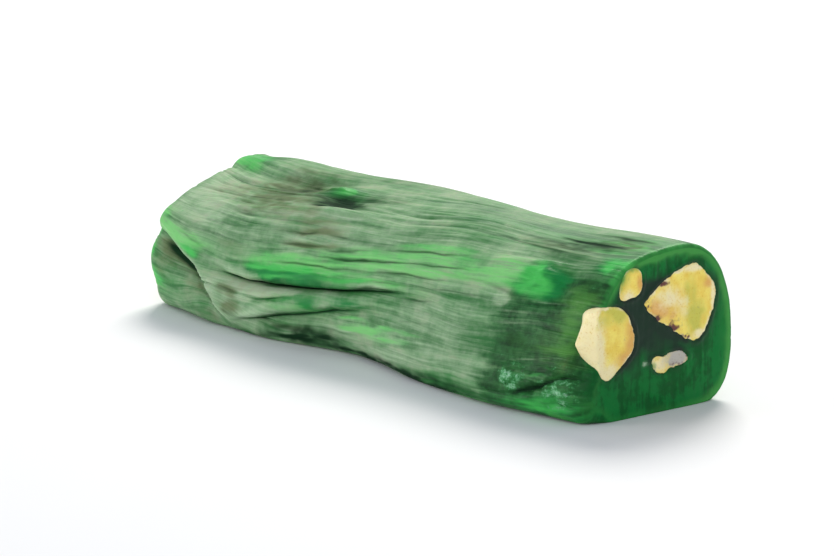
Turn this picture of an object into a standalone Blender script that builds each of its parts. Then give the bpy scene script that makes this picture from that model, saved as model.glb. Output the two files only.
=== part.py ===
"""One roll of pulled turkish delight, cut across at both ends, with pistachio kernels in the cut faces.

Frame: X along the roll, with the main cut face at +X, the folded long side towards -Y, +Z up.
The origin is under the middle of the roll, on the surface that it rests on. Units are metres.
"""

import math

import bmesh
import bpy
import numpy as np
from mathutils import Matrix, Vector

# --- driving dimensions -------------------------------------------------------

LENGTH = 0.103  # from cut face to cut face
OVERRUN = 0.003  # the loft runs this far past each cut, and the cut takes it off
RINGS = 46
RING_POINTS = 84
FINE_POINTS = 720  # each ring is worked out this finely, then spaced evenly
BASE_SINK = 0.0011  # how far the round section reaches below the flat that it rests on
LOWER_CORNER = 4.6  # superellipse exponents: the bottom is squashed square
UPPER_CORNER = 3.3  # and the top is rounder
FIT_GAP = 0.0003  # between a kernel and the jelly round it

# The section's sizes at seven stations, evenly spaced from the far cut (-X) to the main cut (+X).
HEIGHT = (0.0196, 0.0214, 0.0226, 0.0230, 0.0230, 0.0233, 0.0237)
BACK_RISE = (0.0046, 0.0036, 0.0026, 0.0018, 0.0014, 0.0010, 0.0007)  # the top's +Y half stands higher
BASE_FRONT = (-0.0138, -0.0158, -0.0162, -0.0128, -0.0158, -0.0176, -0.0146)
BASE_BACK = (0.0118, 0.0130, 0.0134, 0.0136, 0.0136, 0.0138, 0.0142)
TOP_FRONT = (-0.0122, -0.0128, -0.0122, -0.0112, -0.0102, -0.0092, -0.0082)
TOP_BACK = (0.0118, 0.0124, 0.0128, 0.0130, 0.0132, 0.0136, 0.0140)
BACK_BULGE = (0.0010, 0.0010, 0.0010, 0.0010, 0.0014, 0.0018, 0.0022)  # swell of the +Y side at half height

MAIN_CUT = {"x": LENGTH / 2, "facing": (1.0, -0.030, 0.020), "round": 0.0007}
FAR_CUT = {"x": -LENGTH / 2, "facing": (-1.0, -0.070, -0.010), "round": 0.0028}

# Girth is the way round the skin from the front bottom edge, up the front, over the top and down the
# back, counted on a ring of GIRTH. The pulled grain drifts up that way as these (x, girth) points say.
GIRTH = 0.096
GRAIN = ((-0.056, 0.0062), (-0.040, 0.0016), (-0.025, 0.0000), (-0.010, 0.0012), (0.014, 0.0038), (0.056, 0.0046))
GRAIN_SOFTNESS = 0.008  # the drift is rounded over this length

# Folds run along the roll, each at a girth above the grain that changes steadily from its start to its
# end. Over the fold the skin stands out by lap, under it by lobe, and along it a groove goes in.
FOLDS = (
    {  # the long fold: the upper layer laps over the lobe at the far bottom
        "x": (-0.056, 0.014), "girth": (0.0090, 0.0096), "fade": (0.004, 0.022),
        "depth": 0.0020, "width": 0.0013, "lap": 0.0007, "lobe": 0.0009, "reach": 0.0036,
    },
    {  # the short fold under it, which lifts the bottom edge
        "x": (-0.028, 0.012), "girth": (0.0022, 0.0056), "fade": (0.008, 0.014),
        "depth": 0.0017, "width": 0.0018, "lap": 0.0007, "lobe": -0.0007, "reach": 0.0036,
    },
    {  # the crease over the smooth lip beside the main cut
        "x": (0.022, 0.056), "girth": (-0.0014, -0.0006), "fade": (0.012, 0.001),
        "depth": 0.0011, "width": 0.0012, "lap": 0.0, "lobe": 0.0005, "reach": 0.0024,
    },
    {  # the trough along the top, behind the front ridge
        "x": (-0.052, -0.012), "girth": (0.0310, 0.0345), "fade": (0.004, 0.004),
        "depth": 0.0010, "width": 0.0036, "lap": 0.0002, "lobe": 0.0005, "reach": 0.0050,
    },
    {  # a soft groove along the hidden side
        "x": (-0.046, 0.034), "girth": (0.0560, 0.0550), "fade": (0.012, 0.014),
        "depth": 0.0014, "width": 0.0017, "lap": 0.0006, "lobe": 0.0004, "reach": 0.0036,
    },
)
PIT = {"x": -0.0200, "girth": 0.0345, "across": 0.0036, "depth": 0.0016}  # a hollow that ends the trough
KNOB = {"x": -0.0500, "girth": 0.0405, "across": 0.0034, "height": 0.0012}  # a lump at the far top edge
SWELLS = {"height": 0.0003, "along": 0.040, "turns": 3}  # slow unevenness from pulling

# Kernels in a cut face: the middle (y, z) of the cut piece, its half sizes across, up and into the roll,
# the turn of its outline in degrees, and how far that outline is egg-shaped or three-cornered.
MAIN_KERNELS = {
    "pistachio_front": {
        "at": (-0.0069, 0.0108), "half": (0.0042, 0.0054, 0.0052), "turn": 6, "egg": 0.12, "three": 0.03,
    },
    "pistachio_back": {
        "at": (0.0068, 0.0150), "half": (0.0068, 0.0056, 0.0060), "turn": -6, "egg": 0.02, "three": -0.11,
    },
    "pistachio_top": {
        "at": (-0.0036, 0.0192), "half": (0.0019, 0.0022, 0.0030), "turn": -20, "egg": 0.10, "three": 0.0,
    },
    "pistachio_chip": {
        "at": (0.0042, 0.0067), "half": (0.0034, 0.0014, 0.0022), "turn": 12, "egg": 0.12, "three": 0.0,
    },
}
FAR_KERNELS = {
    "pistachio_far_large": {
        "at": (0.0034, 0.0106), "half": (0.0046, 0.0052, 0.0050), "turn": 25, "egg": 0.08, "three": 0.07,
    },
    "pistachio_far_low": {
        "at": (-0.0058, 0.0060), "half": (0.0032, 0.0028, 0.0040), "turn": -15, "egg": 0.12, "three": 0.04,
    },
    "pistachio_far_top": {
        "at": (-0.0050, 0.0122), "half": (0.0021, 0.0018, 0.0028), "turn": 30, "egg": 0.10, "three": 0.0,
    },
}
KERNEL_SUBDIVISIONS = 3  # of the icosphere that a kernel starts from
KERNEL_SET_IN = 0.0012  # the kernel's widest place lies this deep behind the cut


# --- the skin of the roll -----------------------------------------------------

def along(values, x):
    """A smooth curve (cubic Hermite) through values at evenly spaced stations from cut to cut."""
    values = np.asarray(values)
    slopes = np.gradient(values)
    at = np.clip((x / LENGTH + 0.5) * (len(values) - 1), 0, len(values) - 1)
    i = np.minimum(at.astype(int), len(values) - 2)
    t = at - i
    return (
        (2 * t**3 - 3 * t**2 + 1) * values[i]
        + (t**3 - 2 * t**2 + t) * slopes[i]
        + (3 * t**2 - 2 * t**3) * values[i + 1]
        + (t**3 - t**2) * slopes[i + 1]
    )


def ease(start, end, value):
    """0 before start, 1 after end, and a smooth step between."""
    t = np.clip((value - start) / (end - start), 0, 1)
    return t * t * (3 - 2 * t)


def plain_section(x, angle):
    """(y, z) of the unfolded skin: a superellipse, wider at the base and pressed flat below.

    angle runs round the section from +Y over the top, and x and angle are arrays of one shape.
    """
    cos, sin = np.cos(angle), np.sin(angle)
    power = 2 / np.where(sin > 0, UPPER_CORNER, LOWER_CORNER)
    across = np.sign(cos) * np.abs(cos) ** power
    up = (np.sign(sin) * np.abs(sin) ** power + 1) / 2
    front = along(BASE_FRONT, x) * (1 - up) + along(TOP_FRONT, x) * up
    back = along(BASE_BACK, x) * (1 - up) + along(TOP_BACK, x) * up
    swell = along(BACK_BULGE, x) * np.sin(np.pi * up) * (across > 0) * across
    y = (front + back) / 2 + (back - front) / 2 * across + swell
    z = (along(HEIGHT, x) + BASE_SINK + along(BACK_RISE, x) * across * up) * up - BASE_SINK
    return y, z


def grain(x):
    """How far the grain has drifted round the skin at x: the GRAIN points, joined and rounded."""
    line = np.array(GRAIN)
    offsets = np.linspace(-GRAIN_SOFTNESS, GRAIN_SOFTNESS, 9)
    return np.mean([np.interp(x + offset, line[:, 0], line[:, 1]) for offset in offsets], axis=0)


def evenly_spaced(y, z, starts):
    """Each ring again, with RING_POINTS points at equal steps, the first at the ring's start."""
    closed_y, closed_z = np.hstack([y, y[:, :1]]), np.hstack([z, z[:, :1]])
    steps = np.hypot(np.diff(closed_y), np.diff(closed_z))
    rings = []
    for ring_y, ring_z, step, start in zip(closed_y, closed_z, steps, starts):
        run = np.concatenate([[0], np.cumsum(step)])
        at = np.mod(start + np.arange(RING_POINTS) * run[-1] / RING_POINTS, run[-1])
        rings.append((np.interp(at, run, ring_y), np.interp(at, run, ring_z)))
    return np.array(rings).transpose(1, 0, 2)


def outward(y, z):
    """The unit normal of each ring in its own plane."""
    dy = np.roll(y, -1, 1) - np.roll(y, 1, 1)
    dz = np.roll(z, -1, 1) - np.roll(z, 1, 1)
    size = np.hypot(dy, dz)
    return -dz / size, dy / size


def fold_relief(fold, x, above_grain):
    """How far one fold moves the skin out: a groove, with a lap above it and a lobe below."""
    (start, end), (fade_in, fade_out) = fold["x"], fold["fade"]
    off = above_grain - np.interp(x, fold["x"], fold["girth"])
    strength = ease(start, start + fade_in, x) * (1 - ease(end - fade_out, end, x))
    groove = -fold["depth"] * np.exp(-((off / fold["width"]) ** 2))
    near = np.exp(-((np.abs(off) - fold["reach"] / 2) / fold["reach"] * 2) ** 2)
    return strength * (groove + near * np.where(off > 0, fold["lap"], fold["lobe"]))


def spot(place, x, above_grain):
    """A round bump of height 1 about one place on the skin."""
    away = np.hypot(x - place["x"], above_grain - place["girth"])
    return np.exp(-((away / place["across"]) ** 2))


def drawn_in(cut, x):
    """How far the skin curves in beside a cut: a quarter circle of the cut's edge radius."""
    radius = cut["round"]
    short = np.clip(1 - (np.abs(cut["x"]) - x * np.sign(cut["x"])) / radius, 0, 1)
    return radius * (1 - np.sqrt(1 - short**2))


def skin_points():
    """The skin as an array of rings, each a closed line of points, from the far cut to the main cut."""
    stations = np.linspace(-LENGTH / 2 - OVERRUN, LENGTH / 2 + OVERRUN, RINGS)
    start = math.radians(225)  # the front bottom edge
    angles = start - np.arange(FINE_POINTS) * 2 * math.pi / FINE_POINTS
    y, z = plain_section(*np.meshgrid(stations, angles, indexing="ij"))
    y, z = evenly_spaced(y, z, grain(stations))
    x = np.broadcast_to(stations[:, None], y.shape)
    above_grain = np.arange(RING_POINTS) * GIRTH / RING_POINTS
    out_y, out_z = outward(y, z)
    relief = sum(fold_relief(fold, x, above_grain) for fold in FOLDS)
    relief = relief - PIT["depth"] * spot(PIT, x, above_grain) + KNOB["height"] * spot(KNOB, x, above_grain)
    wave = 2 * math.pi * (SWELLS["turns"] * above_grain / GIRTH + x / SWELLS["along"])
    relief = relief + SWELLS["height"] * np.sin(wave)
    relief = relief - drawn_in(MAIN_CUT, x) - drawn_in(FAR_CUT, x)
    return np.stack([x, y + relief * out_y, np.maximum(z + relief * out_z, 0.0)], axis=-1)


# --- building -----------------------------------------------------------------

def clear_scene():
    for thing in list(bpy.data.objects):
        bpy.data.objects.remove(thing, do_unlink=True)


def material(name, color, roughness):
    made = bpy.data.materials.new(name)
    made.use_nodes = True
    shader = made.node_tree.nodes["Principled BSDF"]
    shader.inputs["Base Color"].default_value = (*color, 1.0)
    shader.inputs["Roughness"].default_value = roughness
    shader.inputs["Metallic"].default_value = 0.0
    return made


def object_from(name, shape, finish):
    mesh = bpy.data.meshes.new(name)
    shape.to_mesh(mesh)
    shape.free()
    mesh.materials.append(finish)
    mesh.shade_smooth()
    mesh.set_sharp_from_angle(angle=math.radians(35))
    made = bpy.data.objects.new(name, mesh)
    bpy.context.scene.collection.objects.link(made)
    return made


def slice_off(shape, cut, offset=0.0):
    """Cuts the shape flat where the knife went, keeps the roll's side, and closes the face."""
    facing = Vector(cut["facing"]).normalized()
    middle = Vector((cut["x"], 0, 0)) + facing * offset
    everything = shape.verts[:] + shape.edges[:] + shape.faces[:]
    sliced = bmesh.ops.bisect_plane(
        shape, geom=everything, plane_co=middle, plane_no=facing, dist=1e-7, clear_outer=True
    )
    rim = [item for item in sliced["geom_cut"] if isinstance(item, bmesh.types.BMEdge)]
    bmesh.ops.edgeloop_fill(shape, edges=rim)


def roll_shape():
    """The skin lofted ring by ring, then cut across at both ends."""
    shape = bmesh.new()
    rings = [[shape.verts.new(point) for point in ring] for ring in skin_points()]
    for this, after in zip(rings, rings[1:]):
        for i in range(RING_POINTS):
            j = (i + 1) % RING_POINTS
            shape.faces.new((this[i], this[j], after[j], after[i]))
    shape.faces.new(rings[0][::-1])
    shape.faces.new(rings[-1])
    slice_off(shape, MAIN_CUT)
    slice_off(shape, FAR_CUT)
    bmesh.ops.dissolve_degenerate(shape, dist=1e-6, edges=shape.edges[:])
    bmesh.ops.recalc_face_normals(shape, faces=shape.faces[:])
    return shape


def kernel_shape(kernel, cut, grow=0.0):
    """A kernel: a sphere stretched to its half sizes, its outline made egg-shaped or three-cornered."""
    shape = bmesh.new()
    bmesh.ops.create_icosphere(shape, subdivisions=KERNEL_SUBDIVISIONS, radius=1.0)
    half_y, half_z, half_x = kernel["half"]
    turn = math.radians(kernel["turn"])
    for vert in shape.verts:
        x, y, z = vert.co
        angle = math.atan2(z, y)
        outline = 1 + kernel["egg"] * math.sin(angle) + kernel["three"] * math.cos(3 * angle)
        vert.co = (x * (half_x + grow), y * outline * (half_y + grow), z * outline * (half_z + grow))
    inward = -math.copysign(1, cut["x"])
    place = Vector((cut["x"] + inward * KERNEL_SET_IN, *kernel["at"]))
    shape.transform(Matrix.Translation(place) @ Matrix.Rotation(turn, 4, "X"))
    return shape


def add_kernels(kernels, cut, jelly, finish):
    """Each kernel cut flush with the face, in a pocket that a hidden cutter makes in the jelly."""
    for name, kernel in kernels.items():
        shape = kernel_shape(kernel, cut)
        slice_off(shape, cut, offset=-FIT_GAP / 3)
        object_from(name, shape, finish)
        cutter = object_from(name + "_pocket", kernel_shape(kernel, cut, grow=FIT_GAP), finish)
        cutter.hide_render = True
        cutter.display_type = "WIRE"
        pocket = jelly.modifiers.new(name + "_pocket", "BOOLEAN")
        pocket.operation = "DIFFERENCE"
        pocket.solver = "EXACT"
        pocket.object = cutter


def centre_over_origin():
    """Moves every mesh so that the middle of the roll's box is over the origin."""
    rolls = [thing for thing in bpy.data.objects if not thing.hide_render]
    graph = bpy.context.evaluated_depsgraph_get()
    points = np.array([vert.co[:] for roll in rolls for vert in roll.evaluated_get(graph).data.vertices])
    middle = (points.min(axis=0) + points.max(axis=0)) / 2
    for thing in bpy.data.objects:
        thing.data.transform(Matrix.Translation((-middle[0], -middle[1], 0)))


clear_scene()
jelly_finish = material("green lokum", (0.048, 0.155, 0.045), 0.45)
kernel_finish = material("pistachio kernel", (0.72, 0.60, 0.16), 0.6)
jelly_roll = object_from("jelly_roll", roll_shape(), jelly_finish)
add_kernels(MAIN_KERNELS, MAIN_CUT, jelly_roll, kernel_finish)
add_kernels(FAR_KERNELS, FAR_CUT, jelly_roll, kernel_finish)
centre_over_origin()
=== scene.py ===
"""A roll of pulled green turkish delight with cut pistachio kernels: the looks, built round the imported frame.

Frame: X along the roll, the main cut at +X, the folded long side towards -Y, +Z up. Units are metres.
"""

import math

import bmesh
import bpy
import numpy as np
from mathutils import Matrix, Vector


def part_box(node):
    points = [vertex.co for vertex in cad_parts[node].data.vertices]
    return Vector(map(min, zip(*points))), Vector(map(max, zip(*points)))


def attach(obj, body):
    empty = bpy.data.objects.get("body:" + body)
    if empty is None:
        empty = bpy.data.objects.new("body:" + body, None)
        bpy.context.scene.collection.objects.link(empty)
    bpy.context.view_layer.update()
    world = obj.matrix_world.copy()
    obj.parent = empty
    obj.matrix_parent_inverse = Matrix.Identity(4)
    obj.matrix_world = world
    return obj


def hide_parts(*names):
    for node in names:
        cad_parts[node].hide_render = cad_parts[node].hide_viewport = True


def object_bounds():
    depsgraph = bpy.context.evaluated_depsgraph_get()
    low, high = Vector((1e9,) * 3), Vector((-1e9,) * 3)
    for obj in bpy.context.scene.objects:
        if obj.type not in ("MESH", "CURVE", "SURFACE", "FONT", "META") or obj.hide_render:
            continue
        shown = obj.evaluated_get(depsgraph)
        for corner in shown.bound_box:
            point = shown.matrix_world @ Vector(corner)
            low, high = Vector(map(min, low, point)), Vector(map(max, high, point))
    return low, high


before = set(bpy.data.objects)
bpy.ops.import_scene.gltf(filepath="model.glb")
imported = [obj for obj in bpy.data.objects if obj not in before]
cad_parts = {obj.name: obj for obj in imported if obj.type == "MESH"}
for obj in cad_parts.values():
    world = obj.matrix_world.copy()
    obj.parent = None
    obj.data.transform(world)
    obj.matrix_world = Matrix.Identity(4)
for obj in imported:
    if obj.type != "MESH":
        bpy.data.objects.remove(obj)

cad_low, cad_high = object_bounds()
MM = 0.001


# --- pistachio kernels in the two cuts ----------------------------------------
# Shelled green pistachios stirred whole into the boiled jelly, so a cut across the roll goes through
# them. Each is waxy yellow inside, with a cream rim and scraps of its purple-brown seed skin.

ROLL_LENGTH = 103 * MM
CENTRED = (0.24 * MM, -0.20 * MM)  # the roll was moved by this, to centre its box over the origin
MAIN_LEAN, FAR_LEAN = (0.030, -0.020), (-0.070, -0.010)  # how x of a cut changes with y and with z

# Corners (y, z) of each cut outline in millimetres from the middle of the kernel's box, joined by a
# smooth curve, and tinted spots: the tint, the spot's y and z, its half sizes and its strength.
KERNELS = {
    "pistachio_front": dict(
        outline=((-3.1, 5.2), (-0.8, 5.6), (1.7, 4.7), (3.2, 2.5), (3.8, 0.1), (3.1, -1.9), (1.0, -3.7),
                 (-1.2, -5.2), (-2.5, -4.9), (-3.2, -2.8), (-3.4, 0.6), (-3.3, 3.4)),
        reach=5.2, ragged=0.05, seed=21, facet=(2.5, 2.4),
        spots=(("green", 0.5, 5.0, 3.0, 1.9, 1.1), ("cream", -1.2, -4.4, 2.4, 1.8, 0.7), ("orange", 3.4, 0.2, 1.5, 3.2, 0.9),
               ("orange", 1.0, -2.6, 1.6, 1.2, 0.6), ("cream", -3.9, -0.5, 1.9, 4.5, 1.0), ("green", -4.2, 3.4, 1.6, 1.6, 0.9),
               ("cream", 2.4, -3.2, 1.0, 1.0, 0.5)),
    ),
    "pistachio_back": dict(
        outline=((-7.2, 1.3), (-5.0, 3.5), (-2.0, 5.1), (1.0, 6.1), (3.0, 6.0), (5.0, 4.2), (6.4, 2.3),
                 (6.3, -0.1), (5.3, -2.6), (3.9, -4.6), (2.4, -5.4), (0.4, -4.7), (-2.4, -2.8), (-5.2, -1.0)),
        reach=5.6, ragged=0.20, seed=22,
        spots=(("cream", -3.2, 1.8, 2.6, 2.0, 0.6), ("orange", -5.2, 0.6, 1.6, 1.4, 0.9), ("orange", -2.6, -0.6, 2.0, 1.6, 0.6),
               ("orange", 4.9, 3.0, 1.1, 1.0, 0.7), ("green", 2.6, -2.0, 1.8, 2.6, 0.9), ("green", 1.4, 2.2, 1.4, 2.6, 0.5),
               ("cream", 2.4, 5.6, 2.6, 0.7, 0.9), ("cream", 6.0, 0.4, 0.6, 3.4, 0.9), ("cream", 3.4, -4.6, 1.6, 0.9, 0.9),
               ("cream", 0.0, 0.2, 1.4, 1.8, 0.5), ("seed_skin", -6.9, 1.0, 0.9, 0.9, 0.9), ("seed_skin", -5.4, -1.2, 1.0, 0.8, 0.9),
               ("seed_skin", -2.6, -2.9, 1.6, 0.6, 1.0), ("seed_skin", 0.1, -4.7, 1.1, 0.6, 0.9),
               ("seed_skin", -4.6, 3.9, 2.0, 0.4, 0.7), ("seed_skin", -1.6, -1.9, 0.9, 0.5, 0.4)),
    ),
    "pistachio_top": dict(
        outline=((-2.5, -0.8), (-1.9, 1.2), (-0.5, 2.5), (1.3, 2.2), (1.9, 0.4), (1.3, -1.4), (-0.5, -1.9),
                 (-1.9, -2.0)),
        reach=3.0, ragged=0.10, seed=23,
        spots=(("green", -1.6, 1.6, 1.2, 1.6, 1.0), ("film", -2.2, 1.2, 1.0, 2.0, 0.8), ("cream", -1.0, -1.4, 1.4, 0.9, 0.8),
               ("orange", 1.5, 0.2, 0.7, 1.5, 0.8), ("film", 0.4, 2.5, 2.0, 0.7, 0.6)),
    ),
    "pistachio_chip": dict(
        outline=((-4.0, 0.5), (-3.4, 1.5), (-1.8, 1.3), (-0.6, 1.7), (1.4, 1.7), (2.8, 0.9), (2.9, 0.1),
                 (1.2, -0.5), (-0.8, -0.6), (-1.8, -1.2), (-3.2, -0.8)),
        reach=2.2, ragged=0.16, seed=24,
        spots=(("cream", -2.6, 0.3, 2.0, 1.6, 0.7), ("green", -2.4, 0.2, 1.6, 0.9, 0.3), ("pale", 1.0, 0.8, 2.6, 1.5, 1.1), ("seed_skin", 2.6, 0.6, 0.7, 0.8, 0.6),
               ("seed_skin", 0.6, -0.3, 1.2, 0.4, 0.5), ("film", -3.8, 0.2, 0.6, 0.8, 0.4)),
    ),
    "pistachio_far_large": dict(
        outline=((-4.7, 0.8), (-3.6, 3.6), (-0.8, 5.0), (2.2, 4.6), (4.4, 2.2), (4.8, -0.8), (3.4, -3.4),
                 (1.0, -4.9), (-2.0, -4.4), (-4.0, -2.2)),
        reach=5.2, ragged=0.14, seed=25,
        spots=(("green", -1.5, 2.4, 2.6, 2.0, 0.9), ("orange", 2.6, 0.4, 1.8, 2.0, 0.6), ("cream", 0.6, -3.6, 3.0, 1.4, 0.8),
               ("cream", -4.0, 0.4, 1.0, 2.4, 0.7), ("seed_skin", 3.6, -3.0, 1.4, 1.2, 1.0), ("seed_skin", 4.4, 1.6, 0.7, 1.6, 0.8)),
    ),
    "pistachio_far_low": dict(
        outline=((-3.1, 0.2), (-2.0, 2.2), (0.4, 2.7), (2.6, 1.6), (3.1, -0.4), (1.8, -2.1), (-0.6, -2.7),
                 (-2.4, -1.7)),
        reach=4.0, ragged=0.12, seed=26,
        spots=(("green", 0.6, -0.6, 1.8, 1.2, 0.9), ("cream", -1.8, 0.6, 1.2, 1.6, 0.8), ("seed_skin", 0.8, 2.4, 1.6, 0.6, 0.9),
               ("orange", 1.6, 1.0, 1.0, 0.8, 0.6)),
    ),
    "pistachio_far_top": dict(
        outline=((-1.9, 0.3), (-1.0, 1.6), (0.8, 1.8), (1.9, 0.5), (1.6, -1.0), (0.2, -1.8), (-1.4, -1.2)),
        reach=2.6, ragged=0.10, seed=27,
        spots=(("green", 0.4, 0.6, 1.2, 0.9, 0.7), ("cream", -0.8, -0.8, 1.2, 0.9, 0.8), ("seed_skin", -1.8, 0.3, 0.5, 0.9, 0.7)),
    ),
}
KERNEL_TINTS = ("green", "cream", "orange", "pale", "film", "seed_skin")
KERNEL_AROUND, FACE_ROWS, CORNER_ROWS, BACK_ROWS = 176, 42, 7, 32
KERNEL_CORNER = 0.07  # the edge of a cut kernel is rounded over this share of its half width
KERNEL_PROUD = 0.14 * MM  # the jelly draws back from the knife, so kernels stand out by this


def ease(start, end, value):
    """0 before start, 1 after end, and a smooth step between."""
    t = np.clip((value - start) / (end - start), 0, 1)
    return t * t * (3 - 2 * t)


def grit(points, size, seed):
    """Gradient noise in space from about -1 to 1, one bump per size: lattice slopes blended by smooth steps."""
    turn = np.random.default_rng(seed).normal(size=(32, 32, 32, 3))
    turn /= np.linalg.norm(turn, axis=-1, keepdims=True)
    at = points / size + 700
    corner = np.floor(at).astype(int)
    part = at - corner
    soft = part**3 * (part * (6 * part - 15) + 10)
    total = 0
    for step in np.ndindex(2, 2, 2):
        slope = turn[tuple(((corner + step) % 32)[..., k] for k in range(3))]
        weight = np.prod(np.where(np.array(step) == 1, soft, 1 - soft), axis=-1)
        total = total + weight * (slope * (part - step)).sum(axis=-1)
    return total * 1.6


def cut_x(side, y, z):
    """x of the knife's cut at y and z: side is 1 at the main cut and -1 at the far one."""
    lean = MAIN_LEAN if side > 0 else FAR_LEAN
    return side * ROLL_LENGTH / 2 + CENTRED[0] + lean[0] * (y - CENTRED[1]) + lean[1] * z


def smooth_outline(corners, share):
    """A closed curve through the corners (Catmull-Rom: each span's ends lean along their neighbours)."""
    corners = np.array(corners)
    count = len(corners)
    at = share * count
    i = np.floor(at).astype(int)
    t = (at - i)[..., None]
    before, here, after, beyond = (corners[(i + k) % count] for k in (-1, 0, 1, 2))
    return 0.5 * (
        2 * here + (after - before) * t + (2 * before - 5 * here + 4 * after - beyond) * t**2
        + (3 * here - before - 3 * after + beyond) * t**3
    )


def kernel_rows(reach):
    """How wide each row of a kernel is, and how deep: across the cut, round its edge, and round the back."""
    across = np.linspace(0, 1 - KERNEL_CORNER, FACE_ROWS)
    turn = np.linspace(0, math.pi / 2, CORNER_ROWS + 1)[1:]
    back = np.linspace(0, math.pi / 2, BACK_ROWS + 1)[1:]
    wide = np.concatenate([across, 1 - KERNEL_CORNER * (1 - np.sin(turn)), np.cos(back) ** 0.75])
    corner_deep = 3.5 * KERNEL_CORNER * MM
    deep = np.concatenate([
        np.zeros(FACE_ROWS), corner_deep * (1 - np.cos(turn)), corner_deep + np.sin(back) * reach * MM,
    ])
    wide[-1] = 0
    return wide[:, None], deep[:, None]


def kernel_surface(name, kernel):
    """Points (rows, around, 3) of a cut kernel, with y and z from its middle, how wide it is and how deep.

    Rings of the outline's shape grow from the middle of the cut to its edge and close again behind it.
    The face is chipped and grainy, and a facet leans back and out from the edge on the -Y side.
    """
    low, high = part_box(name)
    middle = (low + high) / 2
    side = 1 if middle.x > 0 else -1
    wide, deep = kernel_rows(kernel["reach"])
    outline = smooth_outline(kernel["outline"], np.arange(KERNEL_AROUND) / KERNEL_AROUND) * MM
    y, z = outline[:, 0] * wide, outline[:, 1] * wide
    wide, deep = wide + 0 * y, deep + 0 * y
    way = np.arctan2(outline[:, 1], outline[:, 0]) + 0 * y
    facet_out, facet_back = kernel.get("facet", (0, 1))
    slant = 1 - np.abs(np.clip(deep / (facet_back * MM), 0, 2) - 1)
    off_side = np.degrees(way) % 360 - 174  # the facet is widest on the -Y side and gone above and at the tip
    leaning = np.clip(1.1 - np.hypot(off_side / 62, 0.1), 0, 1)
    y = y - facet_out * MM * slant * wide * leaning
    edge = ease(0.72, 1.0, wide)
    points = np.stack([middle.x + 0 * y, middle.y + y, middle.z + z], axis=-1)
    points[..., 0] -= side * deep
    torn = kernel["ragged"] * MM * edge * (1 + 1.5 * spots_of(kernel, "seed_skin", y, z))
    torn = torn * (grit(points, 1.0 * MM, kernel["seed"]) + 0.5 * grit(points, 0.4 * MM, kernel["seed"] + 9))
    y, z = y + torn * np.cos(way), z + torn * np.sin(way)
    chipped = 0.12 * grit(points, 2.4 * MM, kernel["seed"] + 1) + 0.05 * grit(points, 0.8 * MM, kernel["seed"] + 2)
    broken = 1 + 3 * np.clip(spots_of(kernel, "seed_skin", y, z) + 0.5 * spots_of(kernel, "orange", y, z), 0, 1)
    grainy = 0.03 * np.abs(grit(points, 0.35 * MM, kernel["seed"] + 3)) * broken
    face = 1 - ease(0, 0.5 * MM, deep)
    x = cut_x(side, middle.y + y, middle.z + z) + side * (KERNEL_PROUD - deep + face * MM * (chipped - grainy))
    return np.stack([x, middle.y + y, middle.z + z], axis=-1), y, z, wide, deep


def spots_of(kernel, tint, y, z):
    """The sum of a kernel's spots of one tint at y and z from its middle: each falls off as a Gaussian."""
    total = 0 * y
    for spot_tint, at_y, at_z, half_y, half_z, amount in kernel["spots"]:
        if spot_tint == tint:
            total = total + amount * np.exp(-((y / MM - at_y) / half_y) ** 2 - ((z / MM - at_z) / half_z) ** 2)
    return total


def kernel_tints(points, y, z, wide, deep, kernel):
    """Every tint of a kernel: its spots broken up by noise, a narrow cream rim, and skin or cream behind the cut."""
    blotch = grit(points, 1.3 * MM, kernel["seed"] + 4)
    speck = grit(points, 0.5 * MM, kernel["seed"] + 5)
    tints = {tint: spots_of(kernel, tint, y, z) * (1 + 0.5 * blotch) for tint in KERNEL_TINTS}
    rim = ease(0.86, 0.99, wide + 0.05 * blotch + 0.03 * speck)
    tints["cream"] = np.maximum(tints["cream"], rim * (0.55 + 0.5 * blotch))
    tints["seed_skin"] = tints["seed_skin"] * (0.8 + 1.3 * speck + 0.6 * blotch)
    behind = ease(0.10 * MM, 0.45 * MM, deep)
    if "facet" in kernel:
        tints["cream"] = np.maximum(tints["cream"], behind * (0.85 + 0.3 * blotch))
        tints["orange"] = tints["orange"] * (1 - behind)
    else:
        tints["seed_skin"] = np.maximum(tints["seed_skin"], behind * (0.7 + 0.5 * blotch))
    return {tint: np.clip(values, 0, 1) for tint, values in tints.items()}


def linear(hex_colour):
    """An sRGB hex colour as the linear RGBA that a shader takes."""
    parts = [int(hex_colour[i:i + 2], 16) / 255 for i in (1, 3, 5)]
    return (*(p / 12.92 if p <= 0.04045 else ((p + 0.055) / 1.055) ** 2.4 for p in parts), 1.0)


def add(tree, kind, settings=None, **links):
    """Adds a node: settings are its own properties, and each link is a socket or a plain value for an input.

    An input is named by its label with _ for spaces, or in0, in1... by its place.
    """
    made = tree.nodes.new("ShaderNode" + kind)
    for key, value in (settings or {}).items():
        setattr(made, key, value)
    for key, value in links.items():
        socket = made.inputs[int(key[2:])] if key[:2] == "in" and key[2:].isdigit() else made.inputs[key.replace("_", " ")]
        if isinstance(value, bpy.types.NodeSocket):
            tree.links.new(value, socket)
        else:
            socket.default_value = value
    return made


def new_material(name):
    """An empty node material, with its tree and its surface output."""
    made = bpy.data.materials.new(name)
    made.use_nodes = True
    made.node_tree.nodes.clear()
    return made, made.node_tree, made.node_tree.nodes.new("ShaderNodeOutputMaterial")


def blend_colours(tree, factor, first, second):
    """The output of a colour mix: first where factor is 0, second where it is 1."""
    return add(tree, "Mix", {"data_type": "RGBA"}, in0=factor, in6=first, in7=second).outputs[2]


def clamped(tree, value, low, high):
    """value spread so that low gives 0 and high gives 1, smoothly."""
    return add(tree, "MapRange", {"interpolation_type": "SMOOTHSTEP"}, Value=value, From_Min=low, From_Max=high).outputs[0]


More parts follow.
